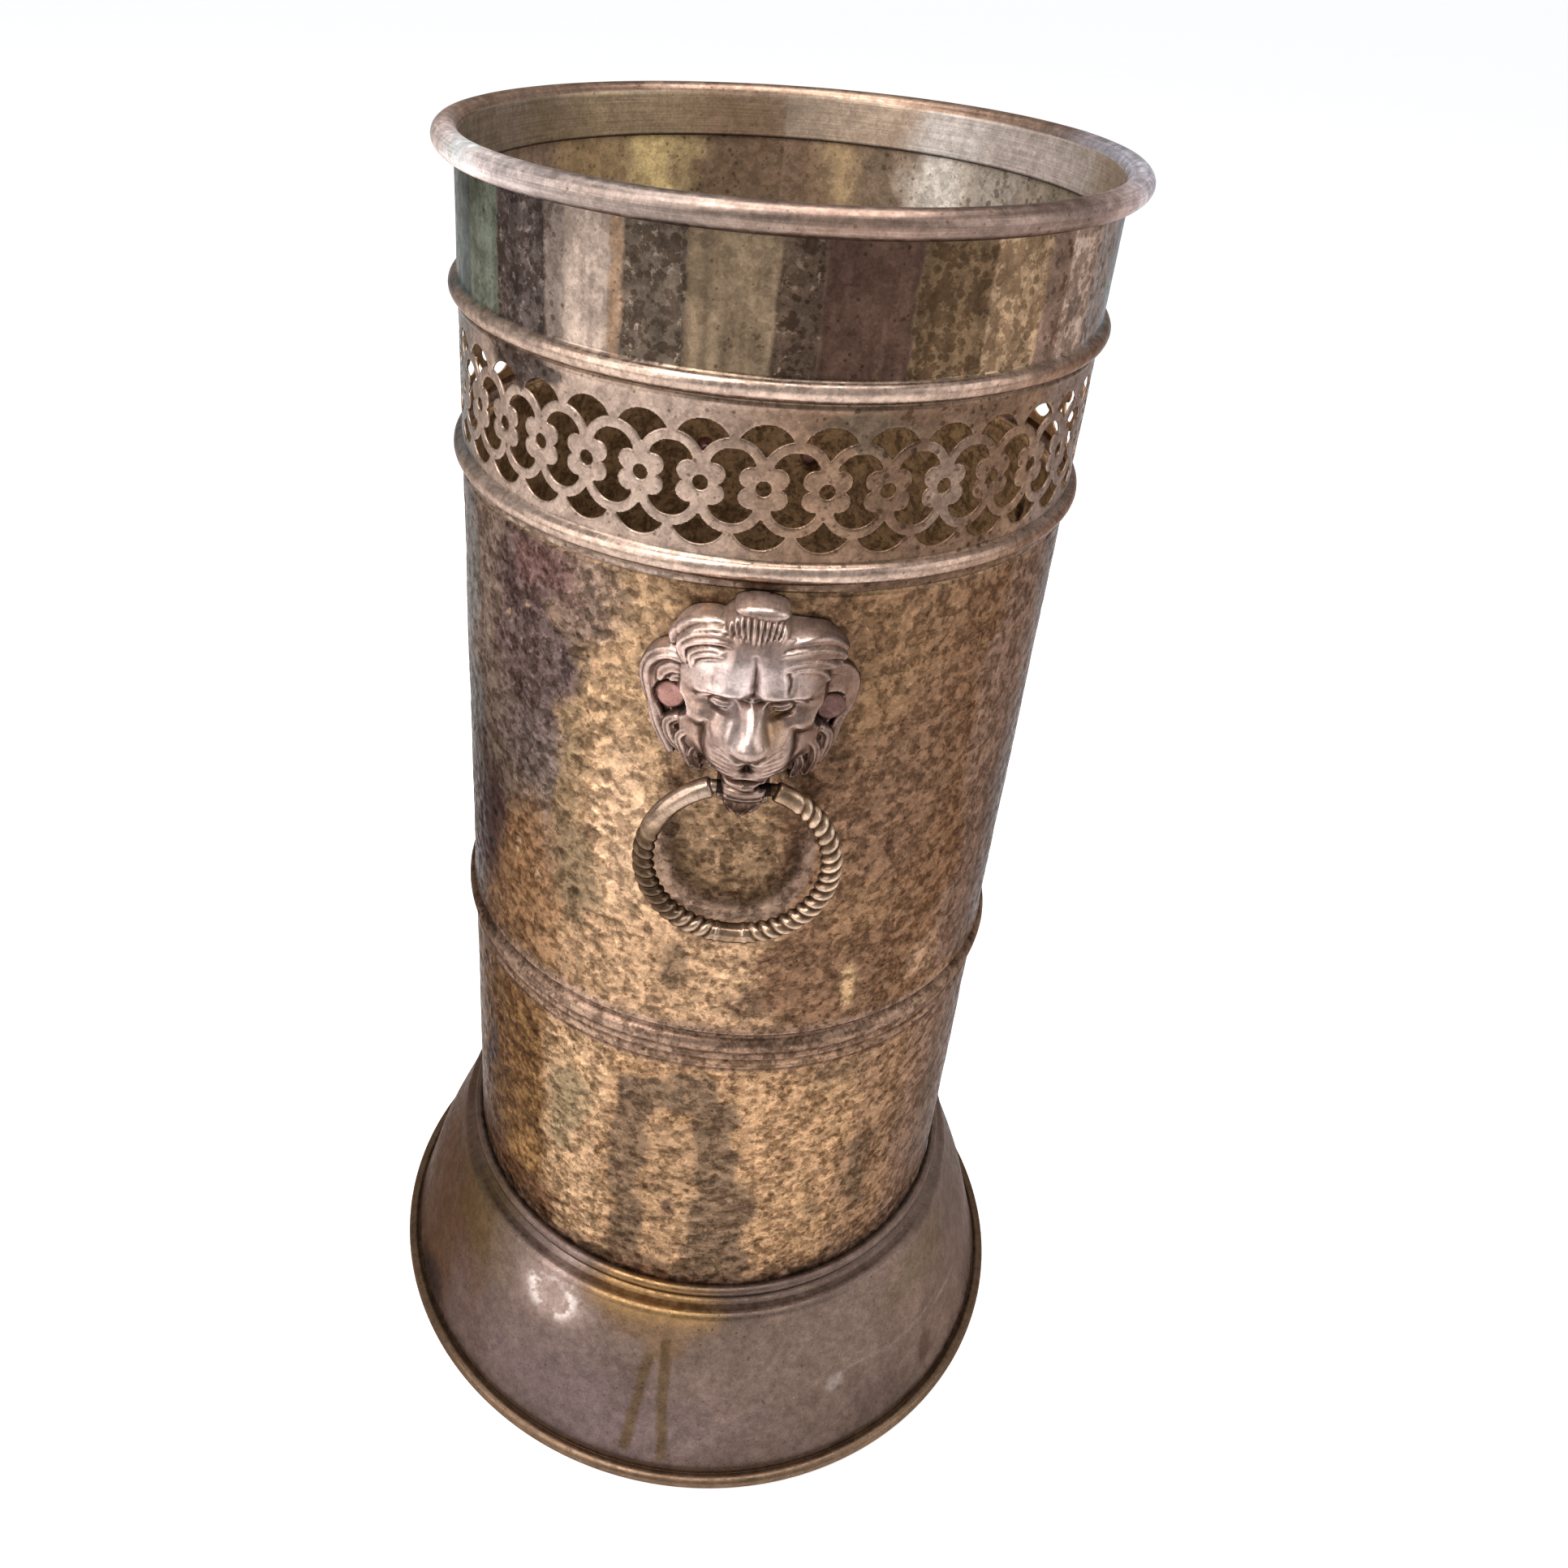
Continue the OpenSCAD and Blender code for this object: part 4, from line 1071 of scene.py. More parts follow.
# heights of the face off the barrel: for each distance from its middle line, rows of (z, height)
FACE_HEIGHTS = {
    0: ((30, 10.0), (26, 12.4), (22.5, 13.8), (18, 14.8), (13, 14.6), (9, 13.2), (6.5, 13.8), (3, 17.6),
        (0, 21.4), (-2.5, 23.4), (-6, 22.4), (-9.5, 20.2), (-13.5, 17.6), (-17, 17.0), (-19.4, 14.6),
        (-22, 15.2), (-26, 14.0), (-29, 11.4), (-31.5, 7.8), (-36, 3.4)),
    3.2: ((26, 12.8), (20, 15.2), (14, 16.2), (10, 15.8), (6.8, 12.4), (3, 16.0), (0, 19.4), (-3, 21.6),
          (-6.5, 21.2), (-10, 20.0), (-14, 18.8), (-17.2, 17.0), (-20, 13.8), (-25, 13.6), (-29, 11.0),
          (-31.5, 7.4)),
    6.5: ((25, 12.2), (19, 15.2), (14, 16.4), (10.5, 16.0), (6.4, 10.4), (3.4, 10.8), (0, 14.4),
          (-4, 17.6), (-8, 19.0), (-12, 18.6), (-16, 16.0), (-20, 11.5), (-25, 11.6), (-29, 9.4),
          (-31.5, 6.0)),
    9.5: ((24, 11.2), (18, 14.0), (14, 15.6), (10.6, 15.2), (6.6, 10.2), (3.5, 10.4), (0, 12.2),
          (-4, 14.8), (-8, 16.4), (-12, 15.8), (-15, 13.0), (-18, 6.4), (-20, 3.8), (-26, 3.4)),
    13: ((22, 10.0), (17, 12.6), (13, 14.0), (9.6, 13.6), (5.8, 10.0), (2.4, 11.6), (-1, 12.6),
         (-5, 10.4), (-10, 10.8), (-14, 8.6), (-18, 4.4), (-22, 3.2), (-27, 2.5)),
    17: ((19, 8.6), (14, 10.6), (9, 10.8), (5, 9.4), (0.5, 10.6), (-5, 8.2), (-11, 6.6), (-17, 4.2),
         (-22, 2.6)),
    21: ((16, 6.2), (10, 7.0), (4, 7.2), (-2, 6.4), (-8, 5.0), (-14, 3.4)),
    27: ((12, 4.0), (5, 4.0), (-3, 3.4), (-10, 2.6)),
}

# locks of the mane: rows of (x, z, height) along the middle of the lock, its half width, its strands, and
# how far it falls to its edges, in half widths, where that isn't the usual share
LOCKS = [
    # left of the crown: a round curl, a bump beside it, and the curls below them
    ([(-8.0, 27.8, 8.8), (-12.2, 28.2, 9.4), (-16.8, 27.2, 8.4), (-20.2, 24.6, 6.8), (-20.4, 22.2, 6.2)],
     3.1, 1, 2.0),
    ([(-20.2, 23.6, 6.0), (-22.6, 21.8, 5.6), (-23.0, 19.2, 5.4)], 2.3, 1, 1.7),
    ([(-8.6, 27.0, 11.2), (-12.6, 26.8, 11.0), (-16.6, 24.8, 9.8), (-19.2, 21.2, 8.4)], 2.0, 1),
    ([(-5.8, 24.4, 12.8), (-10.4, 25.0, 12.6), (-15.4, 23.6, 11.4), (-19.0, 20.2, 9.6), (-18.2, 16.6, 9.4)],
     2.8, 2),
    ([(-8.6, 21.6, 13.8), (-12.4, 21.0, 13.2), (-15.6, 18.8, 11.6), (-16.2, 16.2, 11.0)], 2.1, 2),
    # the big lock that sweeps out at the left and falls past the rivet
    ([(-19.5, 15.2, 8.2), (-24.0, 15.4, 7.8), (-28.2, 12.4, 6.8), (-30.4, 7.2, 5.4), (-30.2, 1.6, 4.4),
      (-28.8, -4.4, 3.6)], 3.2, 2, 1.3),
    ([(-19.0, 11.8, 8.2), (-22.6, 11.4, 7.4), (-25.4, 8.8, 5.8), (-26.6, 5.6, 4.4)], 1.9, 1),
    ([(-18.6, 9.0, 8.6), (-20.8, 8.4, 7.2), (-22.8, 6.8, 5.6)], 1.4, 1),
    ([(-28.8, -4.0, 3.8), (-27.4, -9.4, 3.8), (-25.4, -14.6, 3.4), (-22.8, -20.0, 3.0)], 2.3, 2),
    ([(-20.8, -6.4, 5.8), (-23.2, -9.4, 4.8), (-22.4, -14.2, 4.2), (-19.4, -18.6, 3.6)], 2.2, 2),
    ([(-17.2, -9.6, 7.0), (-19.2, -13.2, 5.8), (-18.0, -18.2, 4.8), (-16.0, -23.2, 3.8)], 2.1, 2),
    ([(-14.6, -15.2, 6.2), (-15.4, -19.2, 5.0), (-13.8, -24.2, 3.8)], 1.6, 1),
    # right of the crown: long locks swept out to a rounded tip
    ([(4.5, 22.6, 13.4), (9.5, 24.0, 12.2), (15.0, 24.8, 10.6), (20.6, 23.6, 8.0), (24.8, 20.8, 5.4)],
     3.3, 1, 2.2),
    ([(4.0, 21.4, 14.4), (9.5, 22.4, 13.6), (15.5, 22.2, 11.6), (20.8, 20.8, 9.0), (24.6, 18.4, 6.0)],
     2.1, 1),
    ([(6.5, 19.4, 15.0), (11.5, 19.6, 13.6), (16.5, 18.8, 11.4), (21.0, 17.0, 8.8)], 1.9, 1),
    ([(10.0, 17.8, 14.4), (13.5, 17.2, 13.0), (17.2, 15.4, 10.8), (20.0, 12.8, 8.6)], 1.6, 1),
    # flat lock round the right rivet
    ([(22.5, 13.4, 4.4), (26.6, 12.2, 3.6), (29.4, 8.4, 2.8), (29.8, 3.0, 2.5), (28.2, -3.4, 2.3)], 2.6, 1),
    ([(28.2, -2.6, 2.4), (26.4, -7.0, 2.5), (25.4, -12.0, 2.4), (23.8, -17.0, 2.2)], 1.8, 1),
    ([(20.8, -6.4, 5.8), (23.0, -9.6, 4.8), (22.8, -14.6, 4.0), (21.4, -19.6, 3.2)], 2.2, 2),
    ([(17.2, -9.6, 7.0), (19.2, -13.4, 5.8), (19.6, -18.4, 4.6), (17.8, -23.4, 3.6)], 2.1, 2),
    ([(14.6, -15.2, 6.2), (15.6, -19.6, 5.0), (14.2, -24.6, 3.6)], 1.6, 1),
    # beard
    ([(-3.6, -30.0, 8.0), (-4.0, -34.6, 5.8), (-3.0, -38.6, 3.4)], 1.4, 1),
    ([(3.6, -30.0, 8.0), (4.0, -34.6, 5.8), (2.6, -38.4, 3.4)], 1.4, 1),
    ([(-1.2, -30.4, 8.6), (-1.3, -35.6, 6.2), (-0.9, -39.8, 3.4)], 1.3, 1),
    ([(1.2, -30.4, 8.6), (1.3, -35.6, 6.2), (0.6, -39.6, 3.4)], 1.3, 1),
]


BELOW = -10.0  # stands for no height at all


def smooth_max(a, b, k):
    """The larger of two heights, rounded where they cross."""
    return 0.5 * (a + b + np.sqrt((a - b) ** 2 + k * k))


def dome(x, z, form):
    """Height of a dome.

    Its form is x and z of its middle, half width, half height, heights at the middle and edge, and a turn."""
    cx, cz, sx, sz, top, base, turn = form
    c, s = math.cos(math.radians(turn)), math.sin(math.radians(turn))
    dx, dz = x - cx, z - cz
    q = ((c * dx + s * dz) / sx) ** 2 + ((-s * dx + c * dz) / sz) ** 2
    inside = base + (top - base) * np.sqrt(np.clip(1 - q, 0, None))
    return np.where(q < 1, inside, base - 6 * (np.sqrt(q) - 1) * min(sx, sz))


def thin_plate(points, heights, x, z):
    """The smoothest surface through the given heights."""
    def kernel(d2):
        return d2 * np.log(d2 + 1e-9)
    n = len(points)
    gap = ((points[:, None] - points[None]) ** 2).sum(-1)
    flat = np.hstack([np.ones((n, 1)), points])
    system = np.block([[kernel(gap) + 1.5 * np.eye(n), flat], [flat.T, np.zeros((3, 3))]])
    weights = np.linalg.solve(system, np.concatenate([heights, np.zeros(3)]))
    out = weights[n] + weights[n + 1] * x + weights[n + 2] * z
    for (px, pz), w in zip(points, weights):
        out = out + w * kernel((x - px) ** 2 + (z - pz) ** 2)
    return out


LINE_POINTS = 30


def smooth_line(control):
    """Points on a smooth curve through the control rows."""
    p = np.array(control, float)
    p = np.vstack([2 * p[0] - p[1], p, 2 * p[-1] - p[-2]])
    t = np.linspace(0, len(p) - 3 - 1e-6, LINE_POINTS)
    i = t.astype(int)
    f = (t - i)[:, None]
    a, b, c, d = p[i], p[i + 1], p[i + 2], p[i + 3]
    return 0.5 * (2 * b + (c - a) * f + (2 * a - 5 * b + 4 * c - d) * f ** 2
                  + (3 * b - 3 * c + d - a) * f ** 3)


def along(x, z, control, reach):
    """Nearest place on a smooth line, for the points within reach of it.

    Returns which points these are, the share of the line's length, the signed distance, the distance, and
    the line's own height there."""
    line = smooth_line(control)
    near = ((x > line[:, 0].min() - reach) & (x < line[:, 0].max() + reach)
            & (z > line[:, 1].min() - reach) & (z < line[:, 1].max() + reach))
    px, pz = x[near][:, None], z[near][:, None]
    start, step = line[:-1, :2], np.diff(line[:, :2], axis=0)
    span = (step ** 2).sum(1)
    t = ((px - start[:, 0]) * step[:, 0] + (pz - start[:, 1]) * step[:, 1]) / span
    t = np.clip(t, 0, 1)
    dx, dz = px - start[:, 0] - t * step[:, 0], pz - start[:, 1] - t * step[:, 1]
    d2 = dx * dx + dz * dz
    k = np.argmin(d2, axis=1)
    rows = np.arange(len(k))
    share = (k + t[rows, k]) / len(step)
    aside = (step[k, 0] * dz[rows, k] - step[k, 1] * dx[rows, k]) / np.sqrt(span[k])
    centre = line[k, 2] + t[rows, k] * (line[k + 1, 2] - line[k, 2]) if line.shape[1] > 2 else None
    return near, share, aside, np.sqrt(d2[rows, k]), centre


STRAND_GROOVE, LOCK_SIDE, LOCK_REACH = 0.7, 8, 1.6


def lock(x, z, control, width, strands, fall=0.85):
    """Height of a lock of hair, which swells, tapers, is combed into strands and has steep sides."""
    out = np.full(x.shape, BELOW)
    near, share, aside, distance, centre = along(x, z, control, width + LOCK_REACH)
    if not near.any():
        return out
    w = width * (0.42 + 0.58 * np.sin(np.pi * np.clip(0.10 + 0.84 * share, 0, 1)) ** 0.7)
    d = distance / w
    comb = 0.5 - 0.5 * np.cos(np.pi * strands * (aside / w + 1))
    ends = np.clip(4 * np.minimum(share, 1 - share) + 0.35, 0, 1)
    h = (centre - fall * w * (1 - np.sqrt(np.clip(1 - d * d, 0, None)))
         - STRAND_GROOVE * comb ** 1.6 * np.clip((1 - d) * 3, 0, 1) * ends)
    side = centre - fall * w - LOCK_SIDE * (distance - w)
    out[near] = np.where(d < 1, h, side)
    return out


def carve(x, z, points, half_width, depth, fade=True):
    """Depth of a groove along a smooth line."""
    out = np.zeros(x.shape)
    near, share, _, distance, _ = along(x, z, points, 3 * half_width)
    ends = np.sin(np.pi * np.clip(share, 0.001, 0.999)) ** 0.5 if fade else 1.0
    out[near] = depth * ends * np.exp(-(distance / half_width) ** 2)
    return out


# grooves of the face: whether they lie on both sides, (x, z) along them, half width, depth (below zero for
# a raised line), and False where they are as deep at their ends
BROW = (
    # middle furrow of the forehead, one more on each side, and the frown above the nose
    (False, ((-0.2, 23), (0.4, 17.5), (0.4, 12.5), (0.2, 7.6)), 1.0, 1.2),
    (False, ((7.8, 19.5), (9.0, 15.6), (8.4, 11.6)), 0.9, 1.1),
    (False, ((-8.8, 18.0), (-9.6, 15.0), (-9.2, 11.6)), 1.2, 0.5),
    (True, ((0, 6.9), (3.0, 7.4), (7.2, 8.4), (11.8, 8.2), (15.6, 6.6)), 0.8, 2.6),
    (True, ((2.0, 9.8), (6.6, 11.0), (11.4, 10.8), (15.2, 9.2)), 1.6, -1.0),
    # socket of the eye
    (True, ((3.4, 5.6), (7.2, 4.6), (11.6, 5.4)), 2.0, 1.5),
)
EYES_AND_BRIDGE = (
    # lids
    (True, ((4.8, 4.2), (7.6, 4.5), (10.6, 5.2)), 0.36, 1.0),
    (True, ((4.2, 2.9), (7.4, 2.3), (11.0, 3.4)), 0.55, 1.0),
    # bridge of the nose between two flat facets
    (False, ((0, 6.6), (0, 2.6), (0, -1.6)), 2.1, -0.9),
    (True, ((3.6, 4.2), (4.2, 0.6), (5.0, -3.0)), 0.9, 0.9),
)
MUZZLE = (
    # nostrils and the notch under the nose
    (True, ((0.8, -8.6), (2.6, -8.4), (4.2, -6.4)), 0.6, 1.3),
    (False, ((0, -9.6), (0, -12.0), (0, -15.0)), 1.0, 2.0),
    (False, ((0, -12.4), (0, -14.6), (0, -16.4)), 1.9, 1.3),
    # rows of whiskers
    *((True, ((3.2, -7.6 - 1.7 * row), (6.4, -6.2 - 1.8 * row), (9.6, -6.0 - 1.9 * row)), 0.34, 0.34)
      for row in range(6)),
    # cheek and mouth
    (True, ((10.8, -0.6), (12.6, -4.6), (12.8, -9.6), (11.6, -13.6)), 1.2, 1.6),
    (True, ((0, -18.9), (3.6, -19.6), (6.4, -18.4), (8.4, -16.6)), 1.0, 4.6, False),
    # bands of the chin and its steep sides
    (False, ((-6.4, -22.4), (0, -23.2), (6.4, -22.6)), 0.5, 1.5, False),
    (False, ((-6.4, -26.0), (0, -27.2), (6.4, -26.4)), 0.5, 1.6, False),
    (False, ((-6.0, -29.4), (0, -30.6), (6.0, -29.8)), 0.4, 0.9, False),
    (True, ((7.4, -18.6), (8.0, -23.0), (7.6, -28.0), (7.0, -32.0)), 1.3, 5.0, False),
)
EYE = (7.6, 4.6, 3.4, 1.7, 11.2, 9.2, 6)
NOSE = (0, -4.2, 5.0, 4.4, 24.0, 16.5, 0)


def grooved(h, x, z, grooves):
    for both_sides, line, half_width, depth, *fade in grooves:
        h = h - carve(np.abs(x) if both_sides else x, z, line, half_width, depth, *fade)
    return h


def face_height(x, z):
    """The lion's face under its mane: a sculpted surface with its folds and openings."""
    points, heights = [], []
    for off, rows in FACE_HEIGHTS.items():
        for row_z, height in rows:
            for side in ((-1, 1) if off else (1,)):
                points.append((side * off, row_z))
                heights.append(height)
    h = thin_plate(np.array(points, float), np.array(heights), x, z)
    h = grooved(h, x, z, BROW)
    h = smooth_max(h, dome(np.abs(x), z, EYE), 0.4)
    h = grooved(h, x, z, EYES_AND_BRIDGE)
    h = smooth_max(h, dome(x, z, NOSE), 1.2)
    return grooved(h, x, z, MUZZLE)


def lion(x, z):
    """Height of the mask's front off the barrel, below zero outside its outline."""
    ax = np.abs(x)
    face = face_height(x, z)
    wide = 7.6 + 12.0 * ramp(z, -26, -11)
    face = face - 30 * np.clip(ax / wide - 1, 0, None)
    face = face - 3 * np.clip(-35 - z, 0, None) - 3 * np.clip(z - 27, 0, None)
    # comb of fine hair from under the crown to the forehead
    comb = dome(x, z, (0.0, 27.6, 8.4, 6.6, 13.4, 8.6, -6))
    for i in range(9):
        top, foot = -7.2 + 1.8 * i, -5.0 + 1.15 * i
        line = [(top, 33.5), (0.5 * (top + foot), 28.5), (foot, 22.4 + 0.5 * abs(foot))]
        comb -= carve(x, z, line, 0.45, 1.7)
    face = smooth_max(face, comb, 0.4)
    # the smooth knob of the crown
    knob = dome(x, z, (0.9, 33.7, 7.3, 2.8, 11.0, 7.4, -4))
    knob = np.where(knob < 7.4, knob - 5 * (7.4 - knob), knob)
    mane = np.full(x.shape, BELOW)
    for form in LOCKS:
        mane = smooth_max(mane, lock(x, z, *form), 0.12)
    under = np.maximum(dome(x, z, (0, 6.5, 28.0, 22.5, 4.4, 2.0, 0)),
                       dome(x, z, (0, -9, 20.0, 18.0, 4.2, 2.0, 0)))
    mane = smooth_max(mane, under, 0.5)
    whole = smooth_max(np.maximum(smooth_max(face, mane, 0.35), knob), -9.0, 0.1)
    # seats of the two rivets, and the dark corners of the mouth
    seat = np.hypot(ax - RIVET_AZ * MM_PER_DEG, z)
    whole = np.where(seat < 6.5, np.minimum(whole, 1.6 + 9 * ramp(seat, 4.9, 6.5)), whole)
    for cx, cz, wide, tall in ((-11.6, -19.8, 1.3, 2.0), (-8.6, -24.0, 1.4, 2.8), (4.9, -22.6, 1.9, 1.0)):
        q = np.hypot((x - cx) / wide, (z - cz) / tall)
        whole = whole - (whole - 2.0) * np.exp(-q ** 4) * (whole > 2)
    ring_end = (np.abs(z - HINGE[2] + MASK_Z) < 4.4) & (ax > 7.9)
    return np.where(ring_end, np.minimum(whole, 5.2), whole)


MASK_EDGE, MASK_SHEET, MASK_STEP = 0.9, 1.3, 0.42


def mask_height(x, z):
    return np.maximum(lion(x, z), MASK_EDGE)


def hollow(x, z, reach):
    """How far a place of the mask lies below its surroundings."""
    beside = ((reach, 0), (-reach, 0), (0, reach), (0, -reach))
    return sum(np.maximum(lion(x + dx, z + dz), 0) for dx, dz in beside) / 4 - lion(x, z)


def paint_mask(points):
    """Coat of a mask that faces the front."""
    c = Coat(points, (164, 137, 124), 0.15, 0.2, 0.6, seed=71)
    x, z = c.az * MM_PER_DEG, c.z - MASK_Z
    fine, middling, broad = hollow(x, z, 0.7), hollow(x, z, 1.7), hollow(x, z, 4.5)
    crown = 1 - 0.7 * ramp(z, 14, 24)
    slope = np.hypot(lion(x + 0.3, z) - lion(x - 0.3, z), lion(x, z + 0.3) - lion(x, z - 0.3)) / 0.6
    # painted shade in the hollows, heights painted paler as partly rubbed wear and partly painted highlight,
    # steep slopes of the upper mane painted paler, and painted light on the forehead and nose
    c.washes((
        (ramp(broad, 0.3, 3.5) * 0.7 * crown, (104, 80, 66), 0.3, 0.05, 0.3),
        (ramp(middling, 0.05, 0.8) * 0.8 * crown, (82, 61, 51), 0.3, 0.0, 0.2),
        (ramp(fine, 0.03, 0.22) * 0.8, (80, 60, 50), 0.2, 0.0, 0.2),
        (ramp(-middling, 0.08, 0.8) * 0.55, (214, 190, 180), 0.05, 0.3, 0.8),
        (ramp(-fine, 0.04, 0.2) * 0.5, (214, 188, 176), 0.05, 0.3, 0.8),
        (ramp(slope, 1.5, 4) * ramp(z, 10, 18) * 0.75, (196, 168, 152), 0.1, 0.1, 0.3, 0.4),
        (hump(x, -2, 13) * hump(z, 15.5, 6.5) * 0.9 * ramp(fine, 0.2, 0.0), (250, 230, 226), 0.05, 0.3, 0.5),
        (hump(x, -3, 5) * hump(z, 0.5, 6) * 0.8, (232, 210, 204), 0.05, 0.3, 0.6),
    ))
    # painted light on the left cheek and muzzle
    c.scale(1 + 0.22 * ramp(-x, 2, 14) * ramp(z, -14, -4))
    # painted shade below and at the right, darker towards the far left edge, random tarnish, two golden
    # places, and painted shade on the edges and back of the sheet
    c.washes((
        (ramp(-z, 14, 24) * 0.6, (118, 92, 78), 0.3),
        (ramp(x, 9, 20) * 0.7, (98, 72, 60), 0.3),
        (ramp(x, 24, 28) * 0.5, (112, 88, 74), 0.4),
        (ramp(-x, 21, 30) * 0.3, (132, 106, 96), 0.3),
        (ramp(c.noise(7, 81, 4), 0.1, 0.8) * 0.4, (132, 104, 88), 0.3),
        (hump(x, 5.5, 3.2) * hump(z, 0.5, 4.5) * 0.7, (150, 114, 76), 0.2, 0.1),
        (hump(x, -14, 4) * hump(z, 33, 2.2) * 0.7, (190, 150, 96), 0.1, 0.2),
        (np.hypot(c.x, c.y) - WALL_R < mask_height(x, z) - 0.4, (70, 54, 44), 0.4, 0.0, 0.2),
    ))
    return c


def make_mask(name, facing):
    xs, zs = np.arange(-36, 36.01, MASK_STEP), np.arange(-42, 40.01, MASK_STEP)
    xz, faces, borders = cut_grid(xs, zs, lion(*np.meshgrid(xs, zs)) - MASK_EDGE, False)

    def wrap(x, z, off):
        return turned(WALL_R + off, MASK_Z + z, x / MM_PER_DEG + facing)

    def front(x, z):
        return wrap(x, z, mask_height(x, z))

    def back(x, z):
        return wrap(x, z, np.maximum(SOLDER_GAP, mask_height(x, z) - MASK_SHEET))

    def paint(points):
        return paint_mask(spun(points, -facing))

    return shell_from_cut(name, xz, faces, borders, front, back, paint)


# ---- ring handles ----

RIB_PITCH, STRANDS = 3.8, 2
GROOVE, BAR_R, PLAIN_R, PIN_R = 0.8, 3.12, 3.25, 2.0
BAR_HALF, BAR_RIDGES = 8, (-4.6, 4.4)
END_X = 8.5  # how far from the middle the ring ends, beside the mouth
GAP = math.asin(END_X / RING_R)
RING_Z = HINGE[2] - math.sqrt(RING_R ** 2 - END_X ** 2)
HANDLE_ROWS, PIN_ROWS = 620, 24


def tube(path, radius, sides):
    """Points, face sizes and corners of a closed tube whose radius is a function of (share, turn)."""
    tangent = np.gradient(path, axis=0)
    tangent /= np.linalg.norm(tangent, axis=1)[:, None]
    side = np.cross(tangent, [0, 1.0, 0])
    side /= np.linalg.norm(side, axis=1)[:, None] + 1e-12
    up = np.cross(side, tangent)
    turns = np.arange(sides) * 2 * math.pi / sides
    share, turn = np.meshgrid(np.linspace(0, 1, len(path)), turns, indexing="ij")
    outward = np.cos(turn)[..., None] * side[:, None] + np.sin(turn)[..., None] * up[:, None]
    points = (path[:, None] + radius(share, turn)[..., None] * outward).reshape(-1, 3)
    return (np.vstack([points, path[:1], path[-1:]]), *closed_tube(len(path), sides, flip=True))


def handle_radius(share, turn):
    """A two-strand rope, worn plain towards both ends, with a ridged bar at its lowest part."""
    s = (share - 0.5) * RING_R * (2 * math.pi - 2 * GAP)
    hand = np.where(s < 0, 1, -1)
    rib = 0.5 + 0.5 * np.cos(STRANDS * turn * hand - 2 * math.pi * s / RIB_PITCH)
    rope = ROPE_R - GROOVE * (1 - rib ** 0.6)
    bar = BAR_R + 0.12 * np.cos(5 * turn) ** 2 + 0.36 * sum(hump(s, at, 0.7) for at in BAR_RIDGES)
    plain = np.where(np.abs(s) < BAR_HALF, bar, PLAIN_R + 0.06 * np.sin(4 * turn + s / 6))
    ribbed = ramp(np.abs(s), 5.5, 7.5) * between(s, -60, -48, 70, 76)
    taper = ramp(np.minimum(share, 1 - share), 0.0, 0.012)
    return (plain + (rope - plain) * ribbed) * np.sqrt(np.clip(taper, 0.02, 1))


def pin_radius(share, turn):
    return PIN_R - 0.5 * ramp(share, 0.93, 1.0) + 0 * turn


def paint_ring(points):
    c = Coat(points, (150, 122, 98), 0.2, 0.2, 0.7, seed=91)
    off = np.hypot(np.hypot(c.x, c.z - RING_Z) - RING_R, c.y - HINGE[1])
    drop = HINGE[2] - c.z
    # pale crests and dark grooves of the rope, partly wear and tarnish and partly painted highlight and
    # shade, random tarnish, and darker at the lower left
    c.washes((
        (ramp(off, 3.1, 3.5) * 0.75, (206, 180, 158), 0.1, 0.3, 0.8),
        (ramp(off, 3.15, 2.9) * 0.95, (70, 52, 40), 0.4, 0.0, 0.2),
        (ramp(c.noise(9, 14, 3), 0.0, 0.6) * 0.5, (112, 90, 68), 0.4),
        (ramp(-c.x, 10, 24) * ramp(drop, 12, 22) * 0.85, (86, 66, 48), 0.4, 0.1),
    ))
    # painted light at the right, and a painted highlight on the upper left
    c.scale(1 + 0.22 * ramp(c.x, -6, 10))
    c.wash(ramp(drop, 16, 0) * (c.x < 0) * 0.5, (212, 188, 172), 0.1, 0.3, 0.9)
    # the pins are painted near black as painted shade of the holes at the mouth's corners
    pin = (np.abs(c.x) < END_X - 0.2) & (np.abs(drop) < 4)
    c.wash(pin, (46, 35, 29), 0.3, 0.0, 0.0)
    return c


def make_ring(name, facing):
    angle = np.linspace(GAP, 2 * math.pi - GAP, HANDLE_ROWS)  # from the top, round by the left side
    level = np.full(HANDLE_ROWS, HINGE[1])
    path = np.stack([-RING_R * np.sin(angle), level, RING_Z + RING_R * np.cos(angle)], 1)
    parts = [tube(path, handle_radius, 40)]
    for side in (-1, 1):
        pin = np.tile(HINGE, (PIN_ROWS, 1))
        pin[:, 0] = np.linspace(side * 5.2, side * (END_X + 1.8), PIN_ROWS)
        parts.append(tube(pin, pin_radius, 28))
    points, sizes, corners = zip(*parts)
    starts = np.cumsum([0] + [len(p) for p in points])
    points = np.vstack(points)
    corners = np.concatenate([c + start for c, start in zip(corners, starts)])
    return write_mesh(name, spun(points, facing), np.concatenate(sizes), corners, paint_ring(points))


# ---- rivets ----

# distances from the stand's axis, and the head's radius
RIVET_BACK, RIVET_SEAT, RIVET_TOP = 96.9, WALL_R + 1.65, WALL_R + 3.2
HEAD_R = 4.5
RIVET_SIDES = 48


